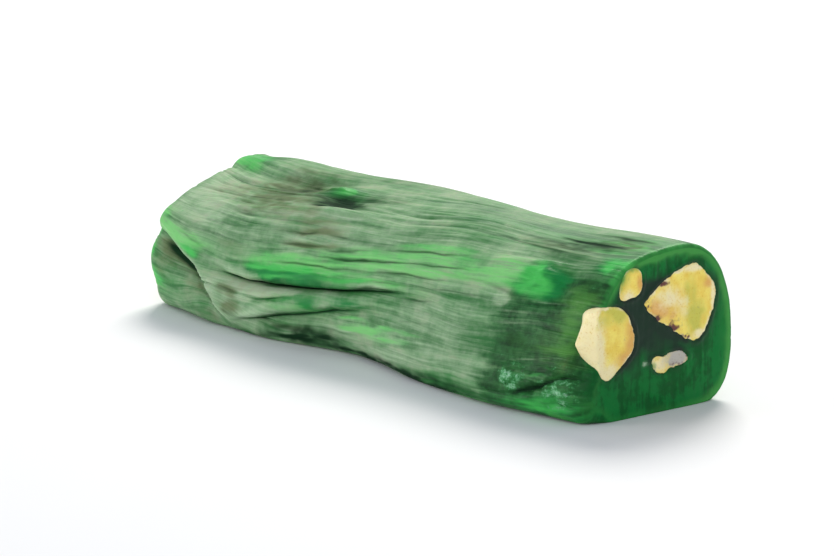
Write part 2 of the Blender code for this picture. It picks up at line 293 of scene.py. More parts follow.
def sum_of(tree, first, second, times=1.0):
    """first + second x times."""
    return add(tree, "Math", {"operation": "MULTIPLY_ADD"}, in0=second, in1=times, in2=first).outputs[0]


def tube_faces(rows, around):
    """Quads between neighbouring rows of closed rings, numbered row by row."""
    row, col = np.meshgrid(np.arange(rows - 1), np.arange(around), indexing="ij")
    after = (col + 1) % around
    quads = [row * around + col, row * around + after, (row + 1) * around + after, (row + 1) * around + col]
    return np.stack(quads, axis=-1).reshape(-1, 4)


def closed_by_poles(points):
    """Points and faces of rings whose first and last rows are each one point: quads between, and two fans."""
    rows, around = len(points) - 2, points.shape[1]
    ring = np.arange(around)
    after, last_ring = (ring + 1) % around, (rows - 1) * around
    first_pole, last_pole = rows * around + 0 * ring, rows * around + 1 + 0 * ring
    fans = np.concatenate([
        np.stack([first_pole, after, ring], axis=-1), np.stack([last_pole, last_ring + ring, last_ring + after], axis=-1),
    ])
    everything = np.concatenate([points[1:-1].reshape(-1, 3), points[:1, 0], points[-1:, 0]])
    return everything, tube_faces(rows, around).tolist() + fans.tolist()


def new_piece(name, points, faces, material, tints, corners_uv=None):
    """A mesh object at the origin, with its tints as point attributes, a grain map, and its faces outwards."""
    mesh = bpy.data.meshes.new(name)
    mesh.from_pydata(points, [], faces)
    if corners_uv is not None:
        mesh.uv_layers.new(name="grain").data.foreach_set("uv", corners_uv.astype(np.float32).ravel())
    for tint, values in tints.items():
        mesh.attributes.new(tint, "FLOAT", "POINT").data.foreach_set("value", values.astype(np.float32))
    shape = bmesh.new()
    shape.from_mesh(mesh)
    if shape.calc_volume(signed=True) < 0:
        bmesh.ops.reverse_faces(shape, faces=shape.faces[:])
        shape.to_mesh(mesh)
    shape.free()
    mesh.shade_smooth()
    mesh.materials.append(material)
    made = bpy.data.objects.new(name, mesh)
    bpy.context.scene.collection.objects.link(made)
    return made


def kernel_material():
    """Cut pistachio kernel: waxy, half matt flesh, golden to yellow-green, mottled at about a millimetre."""
    material, tree, output = new_material("cut pistachio kernel")
    place = add(tree, "TexCoord").outputs["Object"]
    tint = {name: add(tree, "Attribute", {"attribute_name": name}).outputs["Fac"] for name in KERNEL_TINTS}
    mottle = add(tree, "TexNoise", Vector=place, Scale=1 / (1.6 * MM), Detail=4.0, Roughness=0.55).outputs["Fac"]
    cells = add(tree, "TexNoise", Vector=place, Scale=1 / (0.35 * MM), Detail=3.0, Roughness=0.6).outputs["Fac"]
    flesh = blend_colours(tree, clamped(tree, mottle, 0.30, 0.70), linear("#f1d158"), linear("#fde974"))
    for name, colour, soft in (("green", "#cec854", 0.25), ("orange", "#e6b25c", 0.3), ("cream", "#f8e9b4", 0.35),
                               ("pale", "#b9b5aa", 0.4), ("film", "#5f9a3c", 0.3), ("seed_skin", "#6a4038", 0.8)):
        broken = clamped(tree, sum_of(tree, tint[name], sum_of(tree, cells, mottle), soft), soft * 1.15, 0.8 + soft)
        flesh = blend_colours(tree, broken, flesh, linear(colour))
    shaded = add(tree, "Mix", {"data_type": "RGBA", "blend_type": "MULTIPLY"}, in0=1.0, in6=flesh,
                 in7=linear("#e2c690")).outputs[2]
    colour = blend_colours(tree, clamped(tree, cells, 0.48, 0.10), flesh, shaded)
    bump = add(tree, "Bump", Strength=0.4, Distance=0.10 * MM, Height=sum_of(tree, cells, mottle, 0.8))
    shader = add(tree, "BsdfPrincipled", Base_Color=colour, Roughness=0.42, IOR=1.47, Normal=bump.outputs[0],
                 Specular_IOR_Level=0.35, Subsurface_Weight=0.15, Subsurface_Radius=(1.0, 0.7, 0.25),
                 Subsurface_Scale=0.6 * MM)
    tree.links.new(shader.outputs[0], output.inputs[0])
    return material


kernel_flesh = kernel_material()
for name, kernel in KERNELS.items():
    points, y, z, wide, deep = kernel_surface(name, kernel)
    tints = kernel_tints(points, y, z, wide, deep, kernel)
    points, faces = closed_by_poles(points)
    piece = new_piece(name + "_cut", points, faces, kernel_flesh, {
        tint: np.concatenate([values[1:-1].ravel(), [values[0, 0], values[-1, 0]]]) for tint, values in tints.items()})
    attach(piece, "root")
    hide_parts(name)


# --- the roll of jelly --------------------------------------------------------
# A strand of starch jelly (lokum), pulled so that its skin lies in lengthwise folds and wrinkles, rolled
# in starch, settled flat under its own weight and cut across with a knife. One closed surface: rings of
# points from cut to cut, and a square grid wrapped onto each cut face.

GIRTH = 96 * MM  # girth is the way round from the front bottom edge, up the front and over the top
BASE_SINK = 1.1 * MM
LOWER_CORNER = 4.6
UPPER_CORNER = 3.3
# Sizes of the section in millimetres, at seven even stations from the far cut to the main cut.
HEIGHT = (19.6, 21.4, 22.6, 23.0, 23.0, 23.3, 23.7)
BACK_RISE = (4.6, 3.6, 2.6, 1.8, 1.4, 1.0, 0.7)
BASE_FRONT = (-13.8, -15.8, -16.2, -12.8, -15.8, -17.6, -14.6)
BASE_BACK = (11.8, 13.0, 13.4, 13.6, 13.6, 13.8, 14.2)
TOP_FRONT = (-12.2, -12.8, -12.2, -11.2, -10.2, -9.2, -8.2)
TOP_BACK = (11.8, 12.4, 12.8, 13.0, 13.2, 13.6, 14.0)
BACK_BULGE = (1.0, 1.0, 1.0, 1.0, 1.4, 1.8, 2.2)
# The pulled grain drifts up round the skin as these (x, girth) points in millimetres say.
GRAIN = ((-56, 6.2), (-40, 1.6), (-25, 0.0), (-10, 1.2), (14, 3.8), (56, 4.6))
GRAIN_SOFTNESS = 8
MAIN_EDGE, FAR_EDGE = 0.7 * MM, 2.8 * MM  # least radius of the edge round each cut

CAP_SIDE = 108  # cells along each side of a cut face's grid
AROUND = 4 * CAP_SIDE
BODY_ROWS, MAIN_EDGE_ROWS, FAR_EDGE_ROWS = 150, 9, 12


def along(values, x):
    """A smooth curve (cubic Hermite) through values in millimetres at even stations from cut to cut."""
    values = np.asarray(values) * MM
    slopes = np.gradient(values)
    at = np.clip((x / ROLL_LENGTH + 0.5) * (len(values) - 1), 0, len(values) - 1)
    i = np.minimum(at.astype(int), len(values) - 2)
    t = at - i
    return (
        (2 * t**3 - 3 * t**2 + 1) * values[i]
        + (t**3 - 2 * t**2 + t) * slopes[i]
        + (3 * t**2 - 2 * t**3) * values[i + 1]
        + (t**3 - t**2) * slopes[i + 1]
    )


def around_off(girth, at_girth):
    """How far girth is above at_girth, the short way round the ring."""
    return (girth - at_girth + GIRTH / 2) % GIRTH - GIRTH / 2


def blot(x, girth, at_x, at_girth, half_x, half_girth):
    """1 at one place on the skin, falling off as a Gaussian with these half widths, all in millimetres."""
    off = around_off(girth, at_girth * MM)
    return np.exp(-(((x - at_x * MM) / (half_x * MM)) ** 2) - (off / (half_girth * MM)) ** 2)


def drift(x, girth, long, wide, seed):
    """Gradient noise from about -1 to 1, one bump per long (mm) of x and per wide (mm) round the closed ring."""
    cells = max(2, round(GIRTH / (wide * MM)))
    turn = np.random.default_rng(seed).uniform(0, 2 * np.pi, (256, cells))
    u, v = x / (long * MM) + 64, girth / GIRTH * cells
    i, j = np.floor(u).astype(int), np.floor(v).astype(int)
    part_u, part_v = u - i, v - j
    soft_u, soft_v = (part**3 * (part * (6 * part - 15) + 10) for part in (part_u, part_v))
    total = 0
    for di, dj in ((0, 0), (0, 1), (1, 0), (1, 1)):
        angle = turn[(i + di) % 256, (j + dj) % cells]
        slope = np.cos(angle) * (part_u - di) + np.sin(angle) * (part_v - dj)
        total = total + slope * (soft_u if di else 1 - soft_u) * (soft_v if dj else 1 - soft_v)
    return total * 1.5


def grain(x):
    """How far the grain has drifted up round the skin at x: the GRAIN points, joined and rounded."""
    line = np.array(GRAIN) * MM
    offsets = np.linspace(-GRAIN_SOFTNESS, GRAIN_SOFTNESS, 9) * MM
    return np.mean([np.interp(x + offset, line[:, 0], line[:, 1]) for offset in offsets], axis=0)


def lay(x, girth):
    """The girth at which the fibre through each point would run if it were straight: fibres wave and arch.

    They arch over the lobe at the far bottom, and rise from the far cut along the upper side.
    """
    arch = -5.0 * np.exp(-(((x / MM + 34) / 9.5) ** 2)) * ease(-9, -3, girth / MM) * (1 - ease(3, 8.5, girth / MM))
    rise = 2.4 * (1 - ease(-54, -34, x / MM)) * ease(10, 14, girth / MM) * (1 - ease(20, 28, girth / MM))
    return girth + MM * (arch + rise + 1.1 * drift(x, girth, 32, 13, 1) + 0.4 * drift(x, girth, 11, 4, 2))


def plain_rings(x_rows, shares):
    """(y, z) rings of the unfolded skin: superellipses, wider at the base, at these shares of the girth."""
    fine = math.radians(225) - np.arange(1440) * 2 * math.pi / 1440
    x, angle = np.meshgrid(x_rows, fine, indexing="ij")
    cos, sin = np.cos(angle), np.sin(angle)
    power = 2 / np.where(sin > 0, UPPER_CORNER, LOWER_CORNER)
    across = np.sign(cos) * np.abs(cos) ** power
    up = (np.sign(sin) * np.abs(sin) ** power + 1) / 2
    front = along(BASE_FRONT, x) * (1 - up) + along(TOP_FRONT, x) * up
    back = along(BASE_BACK, x) * (1 - up) + along(TOP_BACK, x) * up
    swell = along(BACK_BULGE, x) * np.sin(np.pi * up) * (across > 0) * across
    y = (front + back) / 2 + (back - front) / 2 * across + swell
    z = (along(HEIGHT, x) + BASE_SINK + along(BACK_RISE, x) * across * up) * up - BASE_SINK
    closed_y, closed_z = np.hstack([y, y[:, :1]]), np.hstack([z, z[:, :1]])
    steps = np.hypot(np.diff(closed_y), np.diff(closed_z))
    rings = []
    for ring_y, ring_z, step, start in zip(closed_y, closed_z, steps, grain(x_rows)):
        run = np.concatenate([[0], np.cumsum(step)])
        at = np.mod(start + shares * run[-1], run[-1])
        rings.append((np.interp(at, run, ring_y), np.interp(at, run, ring_z)))
    return np.array(rings).transpose(1, 0, 2)


# Folds in millimetres, each by points along x: the girth above the grain where it runs, how deep it is,
# and how far its upper side laps out over the lower one. Steep above, wide below.
FOLDS = (
    # the long fold: it opens as a deep crease and closes past the middle
    dict(heights=((-56, 9.6), (-26, 9.4), (14, 9.6)), depths=((-32, 0.0), (-24, 2.8), (-6, 2.2), (14, 0.0)),
         width=1.0, lap=((-36, 0.0), (-16, 0.6), (10, 0.0)), lobe=0.9, reach=3.8),
    # the short fold under it, which lifts the bottom edge
    dict(heights=((-28, 1.2), (-23, 2.6), (-15, 4.5), (-5, 5.9), (12, 6.8)),
         depths=((-27, 0.0), (-21, 1.7), (-9, 1.5), (6, 0.0)),
         width=1.2, lap=((-28, 0.0), (-17, 0.7), (-2, 0.4), (12, 0.0)), lobe=-0.9, reach=3.6),
    # the lobe laps down over a flap at the far end
    dict(heights=((-56, 11.6), (-50, 10.6), (-43, 9.5), (-37, 8.0), (-34, 6.0), (-31, 3.4), (-26, 1.0), (-20, -1.4)),
         depths=((-56, 0.3), (-48, 0.8), (-41, 1.4), (-35, 1.0), (-30, 0.2), (-22, 0.0)),
         width=1.5, lap=((-56, 0.3), (-38, 0.7), (-30, 0.5), (-21, 0.0)), lobe=-0.8, reach=4.8),
    # a small split in the lobe
    dict(heights=((-23, 5.7), (-11, 7.6)), depths=((-23, 0.0), (-17, 0.9), (-11, 0.0)),
         width=0.45, lap=((-23, 0.0), (-17, 0.3), (-11, 0.0)), lobe=0.15, reach=1.4),
    # the crease over the smooth lip beside the main cut
    dict(heights=((26, -3.0), (38, -1.8), (43, 0.2), (47, 1.8), (56, 2.4)), depths=((26, 0.0), (38, 0.5), (43, 1.0), (51, 0.2)),
         width=0.8, lap=((26, 0.0), (44, 0.3), (56, 0.1)), lobe=0.6, reach=2.4),
    # the trough along the top, behind the front ridge
    dict(heights=((-52, 31.0), (-12, 34.5)), depths=((-52, 0.7), (-24, 0.9), (-12, 0.0)),
         width=3.4, lap=((-52, 0.2), (-12, 0.0)), lobe=0.4, reach=5.0),
    # a soft groove along the back
    dict(heights=((-46, 56.0), (34, 55.0)), depths=((-46, 0.0), (-34, 1.5), (16, 1.3), (34, 0.0)),
         width=1.3, lap=((-46, 0.0), (-30, 0.6), (34, 0.0)), lobe=0.4, reach=3.6),
)
# Single wrinkles in millimetres: x and girth of both ends, depth (below 0 stands out) and width.
WRINKLES = (
    (-9, 14.2, 9, 14.7, 0.40, 0.24), (7, 14.8, 24, 15.4, 0.38, 0.22), (-14, 12.9, 4, 12.8, 0.26, 0.22),
    (1, 12.5, 20, 13.1, 0.28, 0.22), (-3, 10.0, 13, 10.2, 0.45, 0.30), (9, 8.9, 18, 9.2, 0.34, 0.30),
    (-20, 11.4, -2, 11.6, 0.25, 0.24), (-32, 16.4, -17, 15.8, 0.22, 0.35), (-17, 18.0, -10, 18.2, 0.40, 0.26),
    (-15, 15.9, -8, 16.3, 0.50, 0.40), (-8, 18.5, -3, 18.2, 0.32, 0.28), (-34, 20.9, -25, 20.5, 0.40, 0.30),
    (-42, 20.8, -30, 21.8, -0.30, 0.55), (-34, 21.5, -18, 22.2, -0.34, 0.40), (-20, 22.2, -4, 24.2, -0.55, 0.80),
    (-27, 8.5, -12, 8.1, -0.34, 0.35), (-28, 6.2, -20, 7.0, -0.26, 0.28), (-33, 7.4, -26, 6.0, -0.22, 0.35),
    (-5, 4.2, 2, 4.6, -0.25, 0.35), (-5, 2.0, 1, 2.8, -0.22, 0.30),
    (0, 2.8, 16, 3.2, -0.20, 0.30), (1, 1.7, 11, 2.1, -0.22, 0.28), (0, 5.6, 16, 5.9, 0.22, 0.30),
    (6, 0.2, 27, -1.4, 0.26, 0.35), (-48, 13.8, -34, 12.4, 0.22, 0.35), (-46, 16.6, -30, 17.6, 0.18, 0.40),
    (10, 20.4, 34, 21.0, 0.16, 0.35), (28, 23.6, 45, 22.4, -0.25, 0.55), (27, 18.0, 33, 18.6, -0.30, 0.35),
    (16, 6.8, 44, 9.4, -0.10, 0.14), (14, 5.6, 40, 8.2, 0.10, 0.14), (38, 12.8, 46, 12.2, 0.16, 0.40),
    (-40, 26.0, -24, 26.6, 0.12, 0.60), (-6, 27.0, 12, 25.0, 0.22, 0.50), (32, 15.0, 38, 13.6, 0.30, 0.50),
)
LOOSE_WRINKLES = dict(seed=11, count=150, length=(8, 34), depth=(0.06, 0.30), width=(0.14, 0.34))


def fold(x, girth, heights, depths, width, lap, lobe, reach):
    """How far one fold moves the skin out, and how far it slides it down over the groove.

    The groove is a Gaussian, narrow above and wide below; lap and lobe are Gaussians either side of it.
    """
    line, depth, overlap = (np.interp(x / MM, *np.transpose(points)) for points in (heights, depths, lap))
    off = around_off(girth, line * MM) / MM
    below = lobe * overlap / max(size for _, size in lap)
    groove = -depth * np.exp(-((off / np.where(off > 0, 0.45 * width, 1.5 * width)) ** 2))
    near = np.exp(-((np.abs(off) - reach / 2) / reach * 2) ** 2)
    slide = -0.35 * depth * np.exp(-(((off - 0.6 * width) / (0.8 * width)) ** 2))
    return MM * (groove + near * np.where(off > 0, overlap, below)), MM * slide


def stroke(x, girth, x_from, girth_from, x_to, girth_to, width, soft_side=1.0):
    """1 along a line on the skin, gone at both ends (a parabola), and a Gaussian across it."""
    share = np.clip((x / MM - x_from) / (x_to - x_from), 0, 1)
    off = around_off(girth, (girth_from + (girth_to - girth_from) * share) * MM) / MM
    taper = 1 - (2 * share - 1) ** 2
    return taper * np.exp(-((off / np.where(off > 0, width, soft_side * width)) ** 2))


def smooth_zone(x, girth):
    """1 where the skin beside the main cut was stretched smooth and its starch came off on the knife."""
    edge = 33.5 * MM + 2.2 * MM * drift(x, girth, 9, 3, 31) + 1.4 * MM * drift(x, girth, 3, 1.0, 32)
    edge = edge - 2.0 * MM * blot(x, girth, 31, 2, 20, 4) + 2.0 * MM * blot(x, girth, 36, 14, 20, 3)
    low = ease(-9 * MM, -6 * MM, girth)
    return ease(-2.6 * MM, 2.6 * MM, x - edge) * low * (1 - ease(17 * MM, 21 * MM, girth + 0.12 * (0.050 - x)))


def pulled_relief(x, girth):
    """Out and down moves of the skin: folds, wrinkles, and strands of four sizes left by the pulling.

    A strand is |noise| stretched along the grain, so strands are round and meet in sharp creases.
    """
    bent = lay(x, girth)
    waved = girth + MM * (0.30 * drift(x, girth, 14, 20, 3) + 0.16 * drift(x, girth, 5, 3, 10))
    out = np.zeros_like(x)
    down = np.zeros_like(x)
    for each in FOLDS:
        moved, slid = fold(x, waved, **each)
        out += moved
        down += slid
    loose = np.zeros_like(x)
    for *line, depth, width in WRINKLES:
        loose -= depth * MM * stroke(x, waved, *line, width, 2.0)
    rng = np.random.default_rng(LOOSE_WRINKLES["seed"])
    for _ in range(LOOSE_WRINKLES["count"]):
        middle, at_girth = rng.uniform(-55, 50), rng.uniform(-10, 76)
        half = rng.uniform(*LOOSE_WRINKLES["length"]) / 2
        lean = rng.uniform(-0.035, 0.035) * half
        deep, wide = rng.uniform(*LOOSE_WRINKLES["depth"]), rng.uniform(*LOOSE_WRINKLES["width"])
        line = (middle - half, at_girth - lean, middle + half, at_girth + lean)
        loose -= deep * MM * stroke(x, bent, *line, wide, 2.0)
    # strands are strong along the middle of the side, and weak over the flat top and towards both cuts
    lively = 0.45 + 0.25 * drift(x, girth, 20, 10, 4)
    lively += 0.70 * blot(x, girth, -2, 12, 28, 7) + 0.25 * blot(x, girth, -28, 5, 14, 4)
    lively += 0.60 * blot(x, girth, 2, 59, 32, 8)
    lively -= 0.30 * blot(x, girth, -38, 27, 16, 6) + 0.25 * blot(x, girth, 20, 3, 12, 5)
    near_cut = 1 - 0.75 * ease(0.040, 0.050, x) - 0.85 * ease(0.040, 0.050, -x)
    strands = (
        0.50 * (np.abs(drift(x, bent, 44, 6.2, 5)) - 0.3)
        + 0.34 * (np.abs(drift(x, bent, 26, 2.6, 6)) - 0.3)
        + 0.20 * (np.abs(drift(x, bent, 12, 1.1, 7)) - 0.3)
        + 0.06 * drift(x, bent, 5, 0.6, 8)
    )
    out += (strands * MM * lively * near_cut + loose * (0.4 + 0.6 * near_cut)) * (1 - 0.85 * smooth_zone(x, girth))
    # a dish in the top with a small pit at its end, and a bead of jelly standing in the pit
    out -= 0.9 * MM * blot(x, girth, -28.0, 31.0, 9.5, 3.8) + 1.1 * MM * blot(x, girth, -13.0, 26.6, 4.4, 2.2)
    bead = blot(x, girth, -17.2, 30.9, 2.8, 1.8) * (0.75 + 0.5 * drift(x, girth, 2.4, 1.8, 13))
    out += 1.15 * MM * bead + 0.4 * MM * blot(x, girth, -8.0, 23.2, 6.0, 1.0)
    out -= 0.7 * MM * blot(x, girth, -10.0, -0.6, 9.0, 2.2)
    out += 1.3 * MM * blot(x, girth, -50.0, 40.5, 3.0, 2.8) + 0.8 * MM * blot(x, girth, -49.0, 4.5, 5.0, 3.4)
    out += 0.3 * MM * np.sin(2 * np.pi * (3 * girth / GIRTH + x / 0.040))
    # torn bits that stand up beside the main cut
    out += MM * crumbs(x, girth) * (0.35 + 1.0 * drift(x, girth, 1.7, 1.5, 9) + 0.5 * drift(x, girth, 1.2, 0.7, 14))
    out += MM * 0.5 * blot(x, girth, 37.0, 17.4, 3.0, 2.6) * (0.6 + 0.9 * drift(x, girth, 2.2, 1.4, 12))
    out -= 0.9 * MM * blot(x, girth, 51.0, 6.5, 2.6, 3.6)
    out -= MM * 0.7 * blot(x, girth, 42.8, 16.0, 2.0, 2.4) + MM * 0.3 * blot(x, girth, 37.5, 20.6, 3.0, 0.8)
    return out, down


def crumbs(x, girth):
    """1 where the skin beside the main cut is torn into crumbs."""
    return np.maximum(blot(x, girth, 38.2, 0.6, 2.4, 2.2), blot(x, girth, 47.6, -0.4, 3.4, 2.8))


def ring_shares():
    """Where the points lie round a ring: sparse underneath, where its seam is, and close on the rest."""
    fine = np.linspace(-0.17, 0.83, 2001)
    density = 1 - 0.7 * (ease(0.70, 0.74, fine) + 1 - ease(-0.075, -0.05, fine))
    run = np.concatenate([[0], np.cumsum((density[1:] + density[:-1]) / 2)])
    return np.interp(np.arange(AROUND) / AROUND, run / run[-1], fine)


def skin_rows(girth):
    """x of each point before the cuts lean, and how far it is drawn in: even steps, then a rounded edge.

    The edges are quarter circles, wider low on the front side, and flat beside the front kernel's facet.
    """
    main = MAIN_EDGE + 1.9 * MM * ease(-11 * MM, -7 * MM, girth) * (1 - ease(9 * MM, 13 * MM, girth))
    far = FAR_EDGE + 1.2 * MM * ease(-11 * MM, -7 * MM, girth) * (1 - ease(-2 * MM, 3 * MM, girth))
    flat = ease(3 * MM, 5 * MM, girth) * (1 - ease(10.5 * MM, 12.5 * MM, girth))
    far_turn = np.linspace(math.pi / 2, 0, FAR_EDGE_ROWS + 1)[:-1, None]
    main_turn = np.linspace(0, math.pi / 2, MAIN_EDGE_ROWS + 1)[1:, None]
    share = np.linspace(0, 1, BODY_ROWS)[:, None]
    half = ROLL_LENGTH / 2
    main_x = np.sin(main_turn) * (1 - flat) + main_turn / (math.pi / 2) * flat
    main_in = (1 - np.cos(main_turn)) * (1 - flat) + main_turn / (math.pi / 2) * flat
    x = np.concatenate([-half + far * (1 - np.sin(far_turn)), (-half + far) * (1 - share) + (half - main) * share,
                        half - main * (1 - main_x)])
    return x, np.concatenate([far * (1 - np.cos(far_turn)), 0 * share * main, main * main_in])


def skin_surface():
    """The skin's points (rows, around, 3) before it is cut aslant, its girth, and its relief."""
    shares = ring_shares()
    x, inset = skin_rows(shares * GIRTH)
    y, z = plain_rings(x.mean(axis=1), shares)
    girth = np.broadcast_to(shares * GIRTH, y.shape)
    dy = np.roll(y, -1, 1) - np.roll(y, 1, 1)
    dz = np.roll(z, -1, 1) - np.roll(z, 1, 1)
    size = np.hypot(dy, dz)
    out, down = pulled_relief(x, girth)
    moved = out - inset
    y = y - moved * dz / size + down * dy / size + CENTRED[1]
    z = z + moved * dy / size + down * dz / size
    settled = 0.4 * MM  # the underside is pressed flat, with a soft edge of this height
    z = np.where(z < settled, settled * np.exp(np.minimum(z / settled - 1, 0)), z) - 0.02 * MM
    return np.stack([x + CENTRED[0], y, np.maximum(z, 0)], axis=-1), girth, out


def lean_to_cuts(points):
    """Moves x so that the rows lean as the knife did: not in the middle, and fully at the cuts."""
    x, y, z = (points[..., k].copy() for k in range(3))
    half = ROLL_LENGTH / 2
    for side, lean in ((1, MAIN_LEAN), (-1, FAR_LEAN)):
        near = ease(half - 30 * MM, half - 0.1 * MM, side * (x - CENTRED[0]))
        points[..., 0] += near * (lean[0] * (y - CENTRED[1]) + lean[1] * z)
    return points


def cap_grid():
    """For each point of a square grid: its ring from the middle (0 to 1), and its place round (in points)."""
    half = CAP_SIDE // 2
    i, j = np.meshgrid(np.arange(-half, half + 1), np.arange(-half, half + 1), indexing="ij")
    ring = np.maximum(np.abs(i), np.abs(j))
    place = np.select(
        [j == -ring, i == ring, j == ring], [i + ring, 3 * ring + j, 5 * ring - i], 7 * ring - j
    )
    return ring / half, np.where(ring > 0, place / np.maximum(8 * ring, 1) * AROUND, 0)


def cap_triangles(values):
    """Both triangles of every cell of a cut face's grid, split so that each cell's long side runs outwards."""
    a, b, c, d = (part.reshape(-1, values.shape[-1]) for part in (
        values[:-1, :-1], values[1:, :-1], values[1:, 1:], values[:-1, 1:]))
    i, j = np.meshgrid(*[np.arange(CAP_SIDE) - (CAP_SIDE - 1) / 2] * 2, indexing="ij")
    along_ac = (i * j > 0).ravel()[:, None]
    yield np.stack([a, b, np.where(along_ac, c, d)], axis=1)
    yield np.stack([np.where(along_ac, a, b), c, d], axis=1)


def kernel_distance(y, z, side):
    """How far (y, z) on a cut is outside the nearest kernel's outline, in millimetres, and below 0 inside."""
    nearest = np.full(y.shape, 99.0)
    share = np.arange(240) / 240
    for name, kernel in KERNELS.items():
        low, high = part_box(name)
        middle = (low + high) / 2
        if middle.x * side < 0:
            continue
        outline = smooth_outline(kernel["outline"], share)
        way = np.arctan2(outline[:, 1], outline[:, 0])
        order = np.argsort(way)
        away_y, away_z = (y - middle.y) / MM, (z - middle.z) / MM
        rim = np.interp(np.arctan2(away_z, away_y), way[order], np.hypot(*outline.T)[order], period=2 * np.pi)
        nearest = np.minimum(nearest, np.hypot(away_y, away_z) - rim)
    return nearest


def cap_surface(rim, side):
    """The points of a cut face (grid, grid, 3): the rim's own curve, shrunk ring by ring to its middle.

    The face is the knife's plane, with drag marks up and down, a dip under each kernel and a lip round it.
    """
    ring, place = cap_grid()
    before = np.floor(place).astype(int)
    part = (place - before)[..., None]
    on_rim = rim[before % AROUND] * (1 - part) + rim[(before + 1) % AROUND] * part
    middle = rim.mean(axis=0)
    points = middle + (on_rim - middle) * ring[..., None]
    y, z = points[..., 1], points[..., 2]
    inside = ease(0, 0.10, 1 - ring)
    away = kernel_distance(y, z, side)
    drag = grit(np.stack([0 * y, y / 0.55, z / 7.0], axis=-1), MM, 41 + side)
    lumps = grit(points, 4.5 * MM, 43 + side)
    relief = 0.05 * drag + 0.12 * lumps + 0.05 * grit(points, 1.2 * MM, 45 + side)
    relief = relief + 0.12 * np.exp(-((away - 0.35) / 0.35) ** 2) - 0.55 * (1 - ease(-0.7, -0.15, away))
    points[..., 0] = cut_x(side, y, z) + side * MM * relief * inside
    return points, ring, away


def blurred(values, reach):
    """Values averaged over reach points each way round the ring."""
    return sum(np.roll(values, step, 1) for step in range(-reach, reach + 1)) / (2 * reach + 1)


SKIN_TINTS = ("starch", "bare", "painted_glow", "glow", "brown_and_shade", "shade", "torn")
